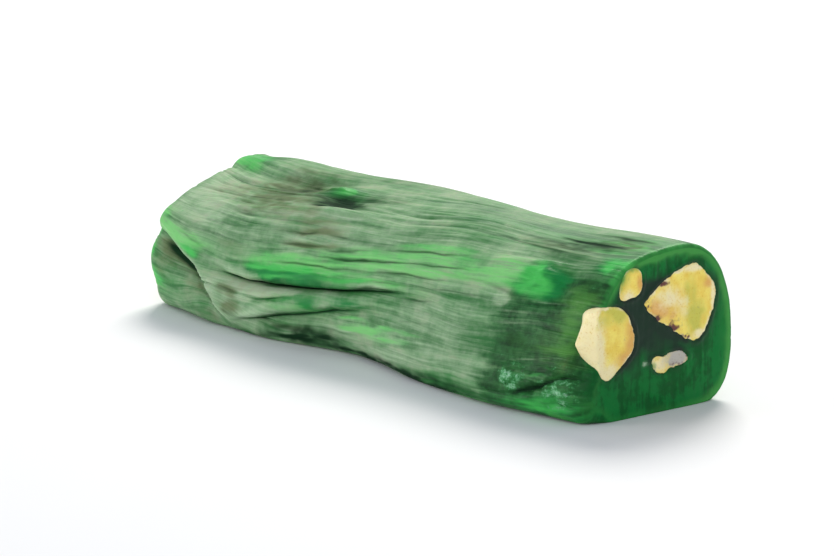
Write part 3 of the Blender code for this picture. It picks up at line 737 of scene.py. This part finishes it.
# Patches and streaks of each tint on the skin, in millimetres. A patch: x, girth, its half sizes and
# strength. A streak: x and girth of both ends, width and strength. Below 0 it takes the tint away.
PATCHES = {
    # starch taken away over the dish and the pit in the top is part of the painted shade there
    "starch": (
        (-43, 19, 8, 3.4, 0.80), (-42, 27, 8, 4.0, 0.60), (-27, 8.0, 4, 0.8, 0.60), (-31, 5.6, 2.4, 1.8, 0.70),
        (-26, 2.4, 5, 2.0, 0.45), (-22, 7.6, 5, 0.6, 0.20), (-8, 22.6, 7, 1.2, 0.30), (-24, 20, 8, 2.0, 0.15), (-8, 17, 8, 2.0, 0.25), (-26, 15.0, 8, 2.6, -0.05),
        (22, 3.8, 9, 4.0, 0.20), (31.6, 11.6, 1.6, 1.0, 0.3), (20.6, 4.4, 0.8, 0.6, 0.4), (36, 22.6, 8, 1.3, -0.05), (12, 21.4, 12, 2.4, -0.12),
        (9, -0.8, 9, 1.3, 0.95), (6, 2.8, 9, 1.4, 0.35), (-43, 11.8, 8, 1.8, 0.45), (31.5, 16.8, 2.6, 2.6, 0.70),
        (6, 14.4, 22, 3.4, 0.10), (-11, 10.8, 12, 1.4, -0.95), (-1, 7.6, 9, 1.6, -0.20), (-14, 28.4, 5, 3.2, -0.60),
        (-44, 4.0, 8, 4.0, -0.40), (-46, 35, 5, 3.0, -0.70), (-12, 6.4, 9, 1.4, -0.35), (-12, 0.8, 9, 2.4, -0.50),
        (24, 28, 12, 3.5, -0.35), (45, 28, 6, 5.0, -0.85), (33, 8, 3, 5.0, -0.20), (39.5, 16.5, 3.6, 3.4, -0.60),
        (8, 9.6, 10, 1.0, -0.20), (20, -3.4, 14, 1.8, -0.60), (-22, 22, 12, 1.6, -0.25), (-48, 28, 3, 8.0, 0.30),
        (-13, 26.4, 4, 1.8, -0.60), (-26, 30, 9, 7.0, -0.30),
    ),
    "bare": (
        (-14, 10.7, 11, 1.3, 1.15), (-9, 6.3, 10, 1.4, 0.60), (9, 9.2, 9, 1.0, 0.12), (-1, 7.4, 6, 1.2, 0.45), (46, -3.6, 12, 2.4, 1.0),
        (-16.5, 30.6, 4.0, 2.4, 0.9), (48.5, 21.0, 3.4, 2.6, 0.9), (37.6, 16.0, 3.8, 3.4, 1.3), (41.8, 15.6, 1.9, 2.4, 1.0),
        (-49, 2.0, 4, 3.0, 0.6), (-38, 10.6, 3.4, 1.0, 0.8),
        (-16, 57.0, 13, 1.5, 1.0), (28, 52.0, 8, 1.6, 0.8), (10, 66.0, 9, 1.6, 0.7),
    ),
    # painted glow: bright green where light shines through thin jelly, on patches and rims all over the skin, and
    # painted glints on the bead in the pit
    "painted_glow": (
        (36.6, 16.8, 1.8, 2.6, 1.2), (38.8, 14.6, 2.0, 1.8, 1.1), (31.4, 16.6, 3.2, 2.8, 1.15), (-4, 14.0, 18, 2.2, 0.60),
        (16, 16.2, 14, 3.0, 0.65), (-17, 12.4, 9, 1.2, 0.7), (-41, 11.5, 8, 1.8, 1.0), (-49, 13.0, 4, 2.4, 0.7),
        (-46, 34.8, 5, 3.0, 1.3), (-51.2, 4.0, 1.3, 7.0, 1.0), (-51.0, 20, 1.6, 14, 0.8), (49.0, 20.8, 2.4, 1.8, 1.1),
        (46, 27, 4, 4.0, 0.4), (-18.9, 31.6, 1.7, 1.2, 1.5), (-15.3, 30.4, 1.6, 1.1, 1.5), (-49, 1.5, 3, 2.6, 0.8),
        (34, 28, 8, 2.0, 0.2), (2, 3.6, 5, 0.8, 0.5), (8, 2.3, 7, 0.9, 0.5), (-12, 5.6, 7, 1.2, 0.4),
        (8, 10.8, 8, 1.0, 0.4), (47, 30, 4, 3.0, 0.4), (-18, 59.0, 15, 2.2, 0.9), (20, 50.0, 15, 2.4, 0.8), (6, 64.0, 12, 1.8, 0.7),
        (40, 60.0, 6, 3.0, 0.6), (-44, 50.0, 6, 3.0, 0.8), (44, -3.2, 9, 1.8, 0.80),
    ),
    "glow": (
        (47.8, 14.6, 3.6, 3.0, 0.62), (47.0, 8.0, 3.2, 5.0, 0.85), (43, 6, 4, 3.0, 0.30), (37, 5.6, 4.5, 2.4, 0.35),
        (45, 28, 5, 3.0, 0.95), (24, 13.5, 5, 1.0, 0.2), (-42, 13.6, 6, 1.6, 0.5), (-45, 35, 4, 2.5, 0.5), (31.2, 17.6, 2.0, 1.6, 0.6),
        (47, -4.6, 4, 1.2, 0.5),
    ),
    # brown marks on the skin, and painted shade over the dish in the top and beside it
    "brown_and_shade": (
        (-44, 7.6, 5.0, 1.8, 0.9), (-37, 5.4, 3.0, 2.0, 0.9), (-33, 0.6, 4, 2.0, 0.5), (-28.0, 6.7, 2.6, 1.0, 1.25),
        (-26.0, 4.2, 2.8, 1.3, 1.25), (-26.5, 29.6, 10, 7.0, 1.15), (-20, 22.0, 11, 1.8, 0.50), (-40, 25.0, 12, 4.5, 0.38), (-12, 17.8, 9, 2.2, 0.60),
        (31.6, 11.2, 1.2, 0.8, 0.5), (-46, 3.4, 4, 3.2, 0.45), (-6, 23.2, 3.0, 0.7, 0.30), (-29, 13.4, 5, 1.8, 0.55), (22, 3, 9, 3.6, 0.40),
        (35, 23.4, 9, 1.8, 0.65), (47.5, 4.4, 0.8, 1.6, 0.6), (-5, 36, 6, 3.0, 0.3), (-14, 1.8, 6, 1.0, 0.4),
        (14, 22.6, 10, 1.6, 0.3), (-30, 64.0, 12, 3.0, 0.9), (34, 56.0, 10, 2.4, 0.7), (2, 50.0, 12, 2.2, 0.6),
    ),
    "shade": (
        (-41, 7.4, 4.4, 1.3, 0.45), (-36, 0.6, 6, 2.4, 0.30), (-12, -0.4, 7.5, 1.4, 1.05), (-12, 1.4, 9.0, 1.8, 0.58), (0, -2.0, 10, 0.9, 0.7), (-12.3, 26.6, 4.8, 2.6, 1.50),
        (-25.5, 30.2, 9, 6.5, 0.60), (-5.7, 30.3, 4, 1.8, 0.6), (18, -3.6, 13, 1.3, 0.95), (2, -3.0, 12, 1.2, 0.5),
        (42.8, 16.0, 1.8, 2.6, 0.25), (-5, 5.8, 8, 1.4, 0.32), (-7, 10.2, 4, 0.9, 0.45), (38, 27, 5, 2.0, 0.45), (45, 28.4, 7, 4.0, 0.42), (36, 23.2, 9, 1.4, 0.20), (39, 24.6, 8, 1.6, 0.3), (-6, 60.5, 13, 1.0, 0.6), (24, 63.0, 12, 1.2, 0.6), (-34, 56.0, 8, 1.2, 0.6), (-10, 39, 10, 3.0, 0.35),
        (37, 12.0, 4, 1.2, 0.45), (38, 5.6, 4, 2.6, 0.50), (26, 25.4, 14, 1.0, 0.4), (38, 21.4, 5, 1.0, 0.4),
    ),
}
STREAKS = {
    "starch": (
        (-34, 20.7, -12, 21.6, 0.40, 1.2), (-47, 19.9, -30, 20.9, 0.45, 1.1), (-46, 25.0, -26, 24.6, 0.5, 0.8), (-26, 24.4, -4, 24.0, 0.4, 0.8), (-30, 8.3, -14, 8.2, 0.35, 0.9),
        (-31, 5.6, -20, 5.9, 0.35, 1.5), (-32, 7.8, -22, 8.1, 0.30, 1.3), (-33, 7.4, -27, 6.2, 0.35, 0.8), (-33, 5.4, -25, 4.6, 0.30, 0.8),
        (-3, 18.4, 13, 19.2, 0.35, 0.6), (1, 1.5, 13, 1.9, 0.35, 0.9), (-3, 2.6, 8, 3.3, 0.35, 0.7), (28, 19.0, 35, 19.4, 0.35, 1.1),
        (-18, 21.4, -2, 22.8, 0.45, 1.4), (-6, 20.0, 8, 20.6, 0.40, 0.4), (-26, 18.6, -14, 19.4, 0.40, 0.4),
        (-16, 14.6, -11, 15.0, 0.30, 0.5), (-48, 16.0, -38, 18.0, 0.6, 0.3), (-8, 7.6, 4, 7.2, 0.3, 0.3),
        (-37, 8.2, -29, 3.4, 0.6, 1.0), (-33, 5.2, -21, 0.2, 0.6, 0.9), (-33, 6.6, -26, 8.0, 0.25, 0.9),
        (-32, 5.0, -24, 6.2, 0.25, 0.8), (-30, 3.2, -23, 3.8, 0.25, 0.7),
    ),
    # painted glow in streaks
    "painted_glow": (
        (-5, 2.4, 9, 3.3, 0.50, 1.0), (0, 1.5, 16, 1.9, 0.50, 1.0), (5, 3.6, 20, 3.2, 0.40, 0.8),
        (-6, 4.2, 3, 4.6, 0.35, 0.7), (38, 29.4, 51, 27.6, 0.7, 0.7), (36, 25.4, 50, 24.6, 0.5, 0.5),
        (-6, 15.0, 12, 15.8, 0.45, 0.6), (2, 13.6, 24, 14.2, 0.40, 0.6), (10, 16.4, 26, 17.0, 0.35, 0.6),
        (-18, 11.9, 4, 12.2, 0.30, 0.6), (22, 15.4, 31, 15.8, 0.4, 0.5), (40, 1.2, 46, 2.2, 0.3, 0.5),
        (-48, 11.2, -36, 10.4, 0.6, 0.5), (-20, 13.4, -8, 13.6, 0.3, 0.5), (-25, 11.3, -8, 11.6, 0.3, 0.9),
        (-22, 10.4, -10, 10.7, 0.2, 0.6), (4, 17.6, 24, 18.6, 0.40, 0.7), (-10, 10.9, 12, 11.2, 0.3, 0.6),
    ),
    # brown streaks, and painted shade along the dish
    "brown_and_shade": (
        (-50, 9.4, -35, 6.6, 1.0, 1.0), (-37, 5.4, -25, 0.0, 0.8, 0.5), (-17, 18.0, -4, 18.6, 0.5, 0.9),
        (-18, 16.0, -2, 16.4, 0.4, 1.0), (-16, 20.0, -5, 20.8, 0.5, 0.6), (-30, 25.6, -12, 25.0, 0.5, 0.5),
    ),
    "shade": (
        (-26, 9.2, 4, 9.5, 0.60, 1.4), (-24, 2.4, -12, 5.2, 0.35, 0.7), (-34, -1.8, -18, -0.6, 0.8, 0.6),
        (-48, 9.4, -34, 6.2, 0.90, 1.3), (-38, 5.6, -28, 1.2, 0.5, 0.6), (-2, 9.9, 13, 10.1, 0.30, 0.8), (9, 8.8, 18, 9.1, 0.30, 0.7),
        (-12, 14.2, 10, 14.7, 0.28, 0.9), (4, 14.5, 26, 15.3, 0.24, 0.8), (-2, 12.3, 22, 13.0, 0.26, 0.8), (-30, 59.4, -4, 60.2, 0.28, 0.8), (4, 51.4, 30, 50.8, 0.26, 0.8),
        (0, 64.4, 26, 63.8, 0.26, 0.7), (-24, 62.2, 2, 62.6, 0.24, 0.6),
        (-20, 12.9, 2, 12.8, 0.26, 0.8), (-20, 16.0, -6, 16.4, 0.30, 0.7), (-31, 6.9, -25, 6.5, 0.35, 0.6), (-29, 3.4, -23, 2.6, 0.3, 0.5), (-19, 18.0, -8, 18.2, 0.25, 0.7),
        (-33, 20.8, -26, 20.5, 0.25, 0.5), (36, -2.2, 48, 1.8, 0.55, 1.3), (14, 11.0, 32, 11.6, 0.25, 0.6),
        (28, 14.0, 36, 12.8, 0.4, 0.5), (10, 24.0, 44, 21.4, 0.35, 0.6), (-46, 24.2, -20, 24.8, 0.30, 0.4),
        (-40, 15.0, -22, 14.4, 0.30, 0.5), (-24, 10.0, -12, 10.2, 0.18, 0.5), (2, 16.4, 24, 17.6, 0.26, 0.8),
        (-12, 15.6, 4, 15.9, 0.22, 0.7), (0, 10.9, 16, 11.4, 0.24, 0.6), (-44, 12.8, -33, 11.6, 0.26, 0.5),
        (-17, 24.8, -7, 25.2, 0.50, 0.7), (6, 5.0, 22, 5.6, 0.22, 0.4), (30, 27.6, 48, 26.4, 0.4, 0.8), (34, 31.4, 50, 30.2, 0.5, 0.7),
    ),
}
# Where a blade or a finger drew faint pale lines over the smooth skin: x and girth of both ends, and width.
SCRATCHES = (
    (16, 6.8, 44, 9.4, 0.26), (20, 5.2, 40, 8.0, 0.20), (14, 8.2, 38, 10.0, 0.18), (24, 9.6, 42, 10.8, 0.22),
    (34, 2.6, 48, 5.0, 0.18), (36, 12.4, 47, 12.8, 0.22),
)


def painted(x, girth, tint):
    """The sum of one tint's patches and streaks at places whose edges are made to wander."""
    x = x + 1.4 * MM * drift(x, girth, 6, 2.5, 53)
    girth = girth + MM * (0.45 * drift(x, girth, 9, 3, 54) + 0.18 * drift(x, girth, 3, 1.0, 55))
    patches = sum(amount * blot(x, girth, *place) for *place, amount in PATCHES.get(tint, ()))
    patches = patches * (1 + 0.45 * drift(x, girth, 4, 1.3, 56) + 0.35 * drift(x, girth, 1.6, 1.0, 57))
    return patches + sum(amount * stroke(x, girth, *line) for *line, amount in STREAKS.get(tint, ()))


def skin_tints(x, girth, relief):
    """What each place on the skin looks like: its starch, how bare it is, its painted glow, its creases with painted
    shade and its ridges with painted highlight.
    """
    hollow = (blurred(relief, 6) - relief) / MM
    crease_shade, ridge = ease(0.10, 0.60, hollow), ease(0.04, 0.30, -hollow)
    smooth = smooth_zone(x, girth)
    underneath = ease(-4 * MM, -8 * MM, around_off(girth, 0 * MM)) + ease(74 * MM, 80 * MM, girth)
    tints = {tint: painted(x, girth, tint) for tint in SKIN_TINTS}
    starch = 0.60 + tints["starch"] + 0.22 * drift(x, girth, 24, 3.0, 51) + 0.16 * drift(x, girth, 9, 5, 52)
    # more starch on ridges and less in creases: painted highlight and painted shade
    starch = starch + 0.30 * ridge - 0.45 * crease_shade - 0.8 * tints["bare"]
    scratched = 0.55 * np.clip(sum(stroke(x, girth, *line) for line in SCRATCHES), 0, 1)
    rubbed = ease(47.5 * MM, 50.5 * MM, np.abs(x)) * (1 - 0.6 * (x < 0))  # a knife wipes starch off a cut's edge
    tints["starch"] = starch * (1 - 0.96 * smooth) * (1 - rubbed) + smooth * (scratched - 0.28 + 0.10 * drift(x, girth, 7, 1.2, 58))
    speck = blot(x, girth, 32.6, 12.0, 1.1, 0.9) * (1 + 0.6 * drift(x, girth, 1.4, 1.0, 59))
    tints["starch"] = tints["starch"] + 2.2 * speck
    # painted glow on the skin just beside the main cut, above the lower front
    tints["painted_glow"] = tints["painted_glow"] + 0.5 * ease(49.6 * MM, 51.4 * MM, x) * ease(10 * MM, 17 * MM, girth)
    # painted shade in creases and, a little, underneath
    tints["shade"] = np.maximum(tints["shade"], 0.95 * crease_shade) + 0.15 * underneath
    tints["smooth"] = smooth * (1 - 0.5 * crumbs(x, girth))
    tints["torn"] = crumbs(x, girth) * (0.75 + 0.6 * drift(x, girth, 2.4, 1.3, 9))
    tints["ridge"] = ridge
    return {tint: np.clip(values, -0.3, 1.2) for tint, values in tints.items()}


def cap_tints(points, ring, away, side):
    """The same tints on a cut face: painted shade in the middle, clear green low down, a painted glow along the rim,
    darker round each kernel, and one painted glint.
    """
    y, z = points[..., 1] / MM, points[..., 2] / MM
    wander = grit(points, 3.0 * MM, 61 + side) + 0.5 * grit(points, 1.2 * MM, 63 + side)
    high_or_right = np.clip(ease(12, 22, z) + ease(4, 12, y), 0, 1)
    # painted glow: brighter green along the rim, most at the top and the right, and along the top edge
    painted_glow = 0.95 * ease(0.90, 1.0, ring + 0.02 * wander) * (0.25 + 0.75 * high_or_right)
    painted_glow = painted_glow + 0.55 * ease(21.0, 23.6, z + 0.8 * wander) * ease(0.7, 0.95, ring)
    painted_glow = painted_glow + 0.20 * ease(12.9, 14.4, y + 0.4 * wander)
    # painted shade: darker towards the middle of the cut face and round the kernels, less so low down, at the top and
    # to the right
    painted_core_shade = ease(0.98, 0.60, ring + 0.05 * wander) * ease(4.5, 12.5, z + 1.8 * wander - 0.25 * y)
    painted_core_shade = painted_core_shade * (1 - 0.80 * ease(18.8, 21.0, z)) * (1 - 0.8 * ease(8.0, 13.0, y + wander)) + 0.45 * np.exp(-(away / 1.3) ** 2) * ease(6, 10, z) * (1 - ease(18.5, 20.5, z))
    # a painted glint: one small pale highlight on the main cut
    glint = np.exp(-(((y + 1.3) / 0.30) ** 2) - ((z - 7.5) / 0.25) ** 2) * (side > 0)
    tints = {tint: 0 * y for tint in (*SKIN_TINTS, "ridge")}
    tints["smooth"] = 1 + 0 * y
    tints["painted_glow"] = painted_glow
    # on a cut face the starch tint holds only the painted glint
    tints["starch"] = 0.9 * glint
    tints["painted_core_shade"] = painted_core_shade
    # darker along each kernel's outline
    tints["brown_and_shade"] = 0.5 * np.exp(-((away - 0.1) / 0.4) ** 2) * (0.6 + 0.8 * wander)
    return {tint: np.clip(values, 0, 1.2) for tint, values in tints.items()}


def lokum_material():
    """Pulled lokum: cloudy green starch jelly, shiny where it was cut or torn, matt with starch elsewhere.

    Its fibres are about a millimetre wide and its starch lies in streaks with them.
    """
    material, tree, output = new_material("starch-dusted lokum")
    place = add(tree, "TexCoord").outputs["Object"]
    grain_map = add(tree, "UVMap", {"uv_map": "grain"}).outputs[0]
    tint = {name: add(tree, "Attribute", {"attribute_name": name}).outputs["Fac"]
            for name in (*SKIN_TINTS, "smooth", "ridge", "painted_core_shade", "cut")}

    def streaks(long, wide, detail=4.0, turned=0.3):
        """Noise stretched along the grain: long and wide are the sizes of one streak in millimetres."""
        size = (GIRTH / (long * MM), GIRTH / (wide * MM), 1.0)
        stretched = add(tree, "Mapping", Vector=grain_map, Scale=size).outputs[0]
        return add(tree, "TexNoise", {"noise_dimensions": "2D"}, Vector=stretched, Scale=1.0, Detail=detail,
                   Roughness=0.6, Distortion=turned).outputs["Fac"]

    def mottle(size, detail=3.0):
        return add(tree, "TexNoise", Vector=place, Scale=1 / (size * MM), Detail=detail, Roughness=0.6).outputs["Fac"]

    long_streaks, fibres, threads = streaks(40, 2.4), streaks(18, 0.9), streaks(9, 0.38, 3.0)
    clouds, grains, dust = mottle(5.0), mottle(0.9), mottle(0.25, 2.0)

    def broken(name, low, high, along_grain=1.0, cloudy=0.5):
        """A tint with its edges torn into streaks along the grain and clouds."""
        noise = sum_of(tree, sum_of(tree, long_streaks, fibres, 0.7), clouds, cloudy)
        middle = along_grain * (1.7 + cloudy) / 2
        return clamped(tree, sum_of(tree, tint[name], noise, along_grain), low + middle, high + middle)

    jelly = blend_colours(tree, clamped(tree, long_streaks, 0.38, 0.62), linear("#2c6c34"), linear("#418747"))
    cloudy = clamped(tree, sum_of(tree, sum_of(tree, clouds, grains, 0.9), fibres, 0.7), 1.0, 1.6)
    deep = blend_colours(tree, cloudy, linear("#163c1c"), linear("#2d6634"))
    jelly = blend_colours(tree, tint["smooth"], jelly, deep)
    jelly = blend_colours(tree, broken("bare", 0.1, 1.2, 0.6), jelly, linear("#177c3b"))
    # painted glow and glints: bright green where light shines through thin jelly
    painted_glow = broken("painted_glow", 0.1, 1.1, 0.9)
    jelly = blend_colours(tree, painted_glow, jelly, linear("#48b755"))
    jelly = blend_colours(tree, broken("glow", 0.1, 1.2, 0.6), jelly, linear("#4b8639"))
    powder = sum_of(tree, sum_of(tree, long_streaks, fibres, 0.9), sum_of(tree, threads, clouds, 6.0), 0.15)
    powder = sum_of(tree, powder, grains, 0.35)
    starch = clamped(tree, sum_of(tree, tint["starch"], powder, 1.2), 1.75, 3.25)
    # paler starch on ridges: painted highlight
    pale = sum_of(tree, sum_of(tree, threads, dust, 0.3), sum_of(tree, clouds, tint["ridge"], 0.45), 0.8)
    starch_colour = blend_colours(tree, clamped(tree, pale, 0.60, 1.55), linear("#7b9c75"), linear("#abc5a1"))
    warm = clamped(tree, sum_of(tree, clouds, long_streaks, 0.5), 0.70, 1.10)
    starch_colour = blend_colours(tree, warm, starch_colour, linear("#a1ad8f"))
    # where the painted glow lies, the starch takes on its green too
    glow_on_starch = add(tree, "Math", {"operation": "MULTIPLY"}, in0=painted_glow, in1=clamped(tree, sum_of(tree, fibres, threads), 0.75, 1.15)).outputs[0]
    starch_colour = blend_colours(tree, sum_of(tree, glow_on_starch, painted_glow, 0.30), starch_colour, linear("#80c679"))
    skin = blend_colours(tree, starch, jelly, starch_colour)
    # brown marks, and painted shade over the dish in the top
    brown_and_shade_mask = add(tree, "Math", {"operation": "MULTIPLY"}, in0=broken("brown_and_shade", 0.1, 1.3, 1.0), in1=0.75).outputs[0]
    skin = blend_colours(tree, brown_and_shade_mask, skin, linear("#606b46"))
    crumbs_noise = sum_of(tree, sum_of(tree, mottle(0.7), fibres, 0.5), dust, 0.4)
    skin = blend_colours(tree, clamped(tree, sum_of(tree, tint["torn"], crumbs_noise, 1.6), 1.80, 2.45), skin, linear("#439757"))
    skin = blend_colours(tree, clamped(tree, sum_of(tree, tint["torn"], crumbs_noise, 2.0), 2.45, 3.2), skin, linear("#96c5a2"))
    skin = blend_colours(tree, broken("shade", 0.05, 1.15, 0.3, 0.2), skin, linear("#103019"))

    knife = add(tree, "Mapping", Vector=place, Scale=(1 / (3 * MM), 1 / (1.1 * MM), 1 / (9 * MM))).outputs[0]
    drag = add(tree, "TexNoise", Vector=knife, Scale=1.0, Detail=4.0, Roughness=0.65).outputs["Fac"]
    depths = sum_of(tree, sum_of(tree, drag, clouds, 1.0), grains, 0.6)
    cut = blend_colours(tree, clamped(tree, depths, 1.15, 1.45), linear("#085723"), linear("#0d7231"))
    # the cut face: painted shade in the middle, painted glow along the rim, darker round the kernels, and the painted
    # glint through the starch tint
    cut = blend_colours(tree, tint["painted_core_shade"], cut, linear("#1f3628"))
    cut = blend_colours(tree, tint["painted_glow"], cut, linear("#429444"))
    cut = blend_colours(tree, tint["brown_and_shade"], cut, linear("#2b2b2a"))
    cut = blend_colours(tree, tint["starch"], cut, linear("#c9dcc0"))
    colour = blend_colours(tree, tint["cut"], skin, cut)

    matt = add(tree, "MapRange", Value=starch, To_Min=0.36, To_Max=0.85).outputs[0]
    matt = sum_of(tree, matt, tint["shade"], 0.4)
    roughness = add(tree, "Mix", {"data_type": "FLOAT"}, in0=tint["cut"], in2=matt, in3=0.34).outputs[0]
    rise = sum_of(tree, sum_of(tree, sum_of(tree, long_streaks, fibres, 0.8), threads, 0.25), grains, 0.3)
    wrinkled = add(tree, "Bump", Strength=0.45, Distance=0.35 * MM, Height=rise)
    dragged = add(tree, "Bump", Strength=0.35, Distance=0.15 * MM, Height=depths)
    normal = add(tree, "Mix", {"data_type": "VECTOR"}, in0=tint["cut"], in4=wrinkled.outputs[0], in5=dragged.outputs[0])
    shader = add(tree, "BsdfPrincipled", Base_Color=colour, Roughness=roughness, IOR=1.44, Normal=normal.outputs[1],
                 Specular_IOR_Level=0.13, Subsurface_Weight=0.22, Subsurface_Radius=(0.35, 1.0, 0.3),
                 Subsurface_Scale=1.6 * MM)
    tree.links.new(shader.outputs[0], output.inputs[0])
    return material


points, girth, relief = skin_surface()
x_plain = points[..., 0] - CENTRED[0]
tints = skin_tints(x_plain, girth, relief)
rows = len(points)
cut_tint = np.zeros(girth.shape)
cut_tint[-MAIN_EDGE_ROWS - 1:] = ease(0, 1, np.linspace(0, 1, MAIN_EDGE_ROWS + 1))[:, None]
cut_tint[:FAR_EDGE_ROWS] = ease(0, 1, np.linspace(1, 0, FAR_EDGE_ROWS))[:, None]
tints["cut"] = cut_tint
tints["painted_core_shade"] = np.zeros(girth.shape)
points = lean_to_cuts(points)
all_points = [points.reshape(-1, 3)]
all_tints = {tint: [values.ravel()] for tint, values in tints.items()}
faces = tube_faces(rows, AROUND).tolist()
# the grain map: u along the roll and v round it, both in girths
u, v = x_plain / GIRTH, lay(x_plain, girth) / GIRTH
last_column = np.arange(AROUND) == AROUND - 1
next_v = np.where(last_column, np.roll(v, -1, 1) + 1, np.roll(v, -1, 1))
uv = [np.stack([
    np.stack([u[:-1], v[:-1]], -1), np.stack([u[:-1], next_v[:-1]], -1),
    np.stack([u[1:], next_v[1:]], -1), np.stack([u[1:], v[1:]], -1)], axis=-2).reshape(-1, 2)]
count = rows * AROUND
for side, rim_row in ((1, rows - 1), (-1, 0)):
    rim = points[rim_row]
    cap, ring, away = cap_surface(rim, side)
    numbers = np.empty(ring.shape, int)
    on_rim = ring > 0.9999
    _, place = cap_grid()
    numbers[on_rim] = rim_row * AROUND + np.round(place[on_rim]).astype(int) % AROUND
    numbers[~on_rim] = count + np.arange((~on_rim).sum())
    count += int((~on_rim).sum())
    all_points.append(cap[~on_rim])
    values = cap_tints(cap, ring, away, side)
    values["cut"] = np.ones(ring.shape)
    for tint in all_tints:
        all_tints[tint].append(values[tint][~on_rim])
        if tint != "cut":
            all_tints[tint][0][rim_row * AROUND + np.round(place[on_rim]).astype(int) % AROUND] = values[tint][on_rim]
    flat = cap[..., 1:] / GIRTH
    for piece_faces, corner_uv in zip(cap_triangles(numbers[..., None]), cap_triangles(flat)):
        if side < 0:
            piece_faces, corner_uv = piece_faces[:, ::-1], corner_uv[:, ::-1]
        faces.extend(piece_faces[..., 0].tolist())
        uv.append(corner_uv.reshape(-1, 2))
jelly = new_piece(
    "lokum_roll", np.concatenate(all_points), faces, lokum_material(),
    {tint: np.concatenate(values) for tint, values in all_tints.items()}, np.concatenate(uv),
)
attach(jelly, "root")
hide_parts("jelly_roll")


# --- the table, lights and camera ---------------------------------------------
# A plain pale table top, a soft key light from behind on the left, a fill from the right, a low light from the front
# left, and a pale sky.

def floor_material():
    """White matt laminate, as a product table has: very slight unevenness in its colour."""
    material, tree, output = new_material("white matt table")
    place = add(tree, "TexCoord").outputs["Object"]
    soft = add(tree, "TexNoise", Vector=place, Scale=1 / (60 * MM), Detail=2.0).outputs["Fac"]
    colour = blend_colours(tree, soft, linear("#e8e9ea"), linear("#ecedee"))
    shader = add(tree, "BsdfPrincipled", Base_Color=colour, Roughness=0.7)
    tree.links.new(shader.outputs[0], output.inputs[0])
    return material


reach = 4.0
floor_mesh = bpy.data.meshes.new("table_top")
floor_mesh.from_pydata([(-reach, -reach, 0), (reach, -reach, 0), (reach, reach, 0), (-reach, reach, 0)], [], [(0, 1, 2, 3)])
floor_mesh.materials.append(floor_material())
floor = bpy.data.objects.new("table_top", floor_mesh)
bpy.context.scene.collection.objects.link(floor)

world = bpy.data.worlds.new("pale studio")
world.use_nodes = True
world.node_tree.nodes["Background"].inputs["Color"].default_value = linear("#eef4ff")
world.node_tree.nodes["Background"].inputs["Strength"].default_value = 0.54
bpy.context.scene.world = world


def add_light(name, at, toward_point, size, power, colour="#ffffff"):
    """A square area light at a place, turned to face a point."""
    data = bpy.data.lights.new(name, "AREA")
    data.shape = "SQUARE"
    data.size = size
    data.energy = power
    data.color = linear(colour)[:3]
    light = bpy.data.objects.new(name, data)
    light.location = at
    light.rotation_euler = (Vector(toward_point) - Vector(at)).to_track_quat("-Z", "Y").to_euler()
    bpy.context.scene.collection.objects.link(light)


middle = (cad_low + cad_high) / 2
add_light("key", (-0.42, 0.54, 0.66), middle, 0.42, 8.4, "#fffaf2")
add_light("fill", (0.9, -0.45, 0.45), middle, 0.7, 2.6)
add_light("front", (-0.5, -0.9, 0.20), middle, 0.35, 3.6)

AZIMUTH, ELEVATION, DISTANCE = math.radians(46), math.radians(11), 0.655
FRAME_SHARE = 0.70  # of the picture's width that the roll takes up
back = Vector((math.sin(AZIMUTH) * math.cos(ELEVATION), -math.cos(AZIMUTH) * math.cos(ELEVATION), math.sin(ELEVATION)))
camera_data = bpy.data.cameras.new("camera")
camera_data.lens = 186
camera_data.clip_start = 0.01
camera = bpy.data.objects.new("camera", camera_data)
camera.location = (0.4839, -0.4174, 0.1581)
aim = Vector((middle.x, middle.y, middle.z - 0.001))
camera.rotation_euler = (aim - camera.location).to_track_quat("-Z", "Y").to_euler()
bpy.context.scene.collection.objects.link(camera)
bpy.context.scene.camera = camera

bpy.context.scene.view_settings.view_transform = "Standard"
bpy.context.scene.view_settings.look = "None"
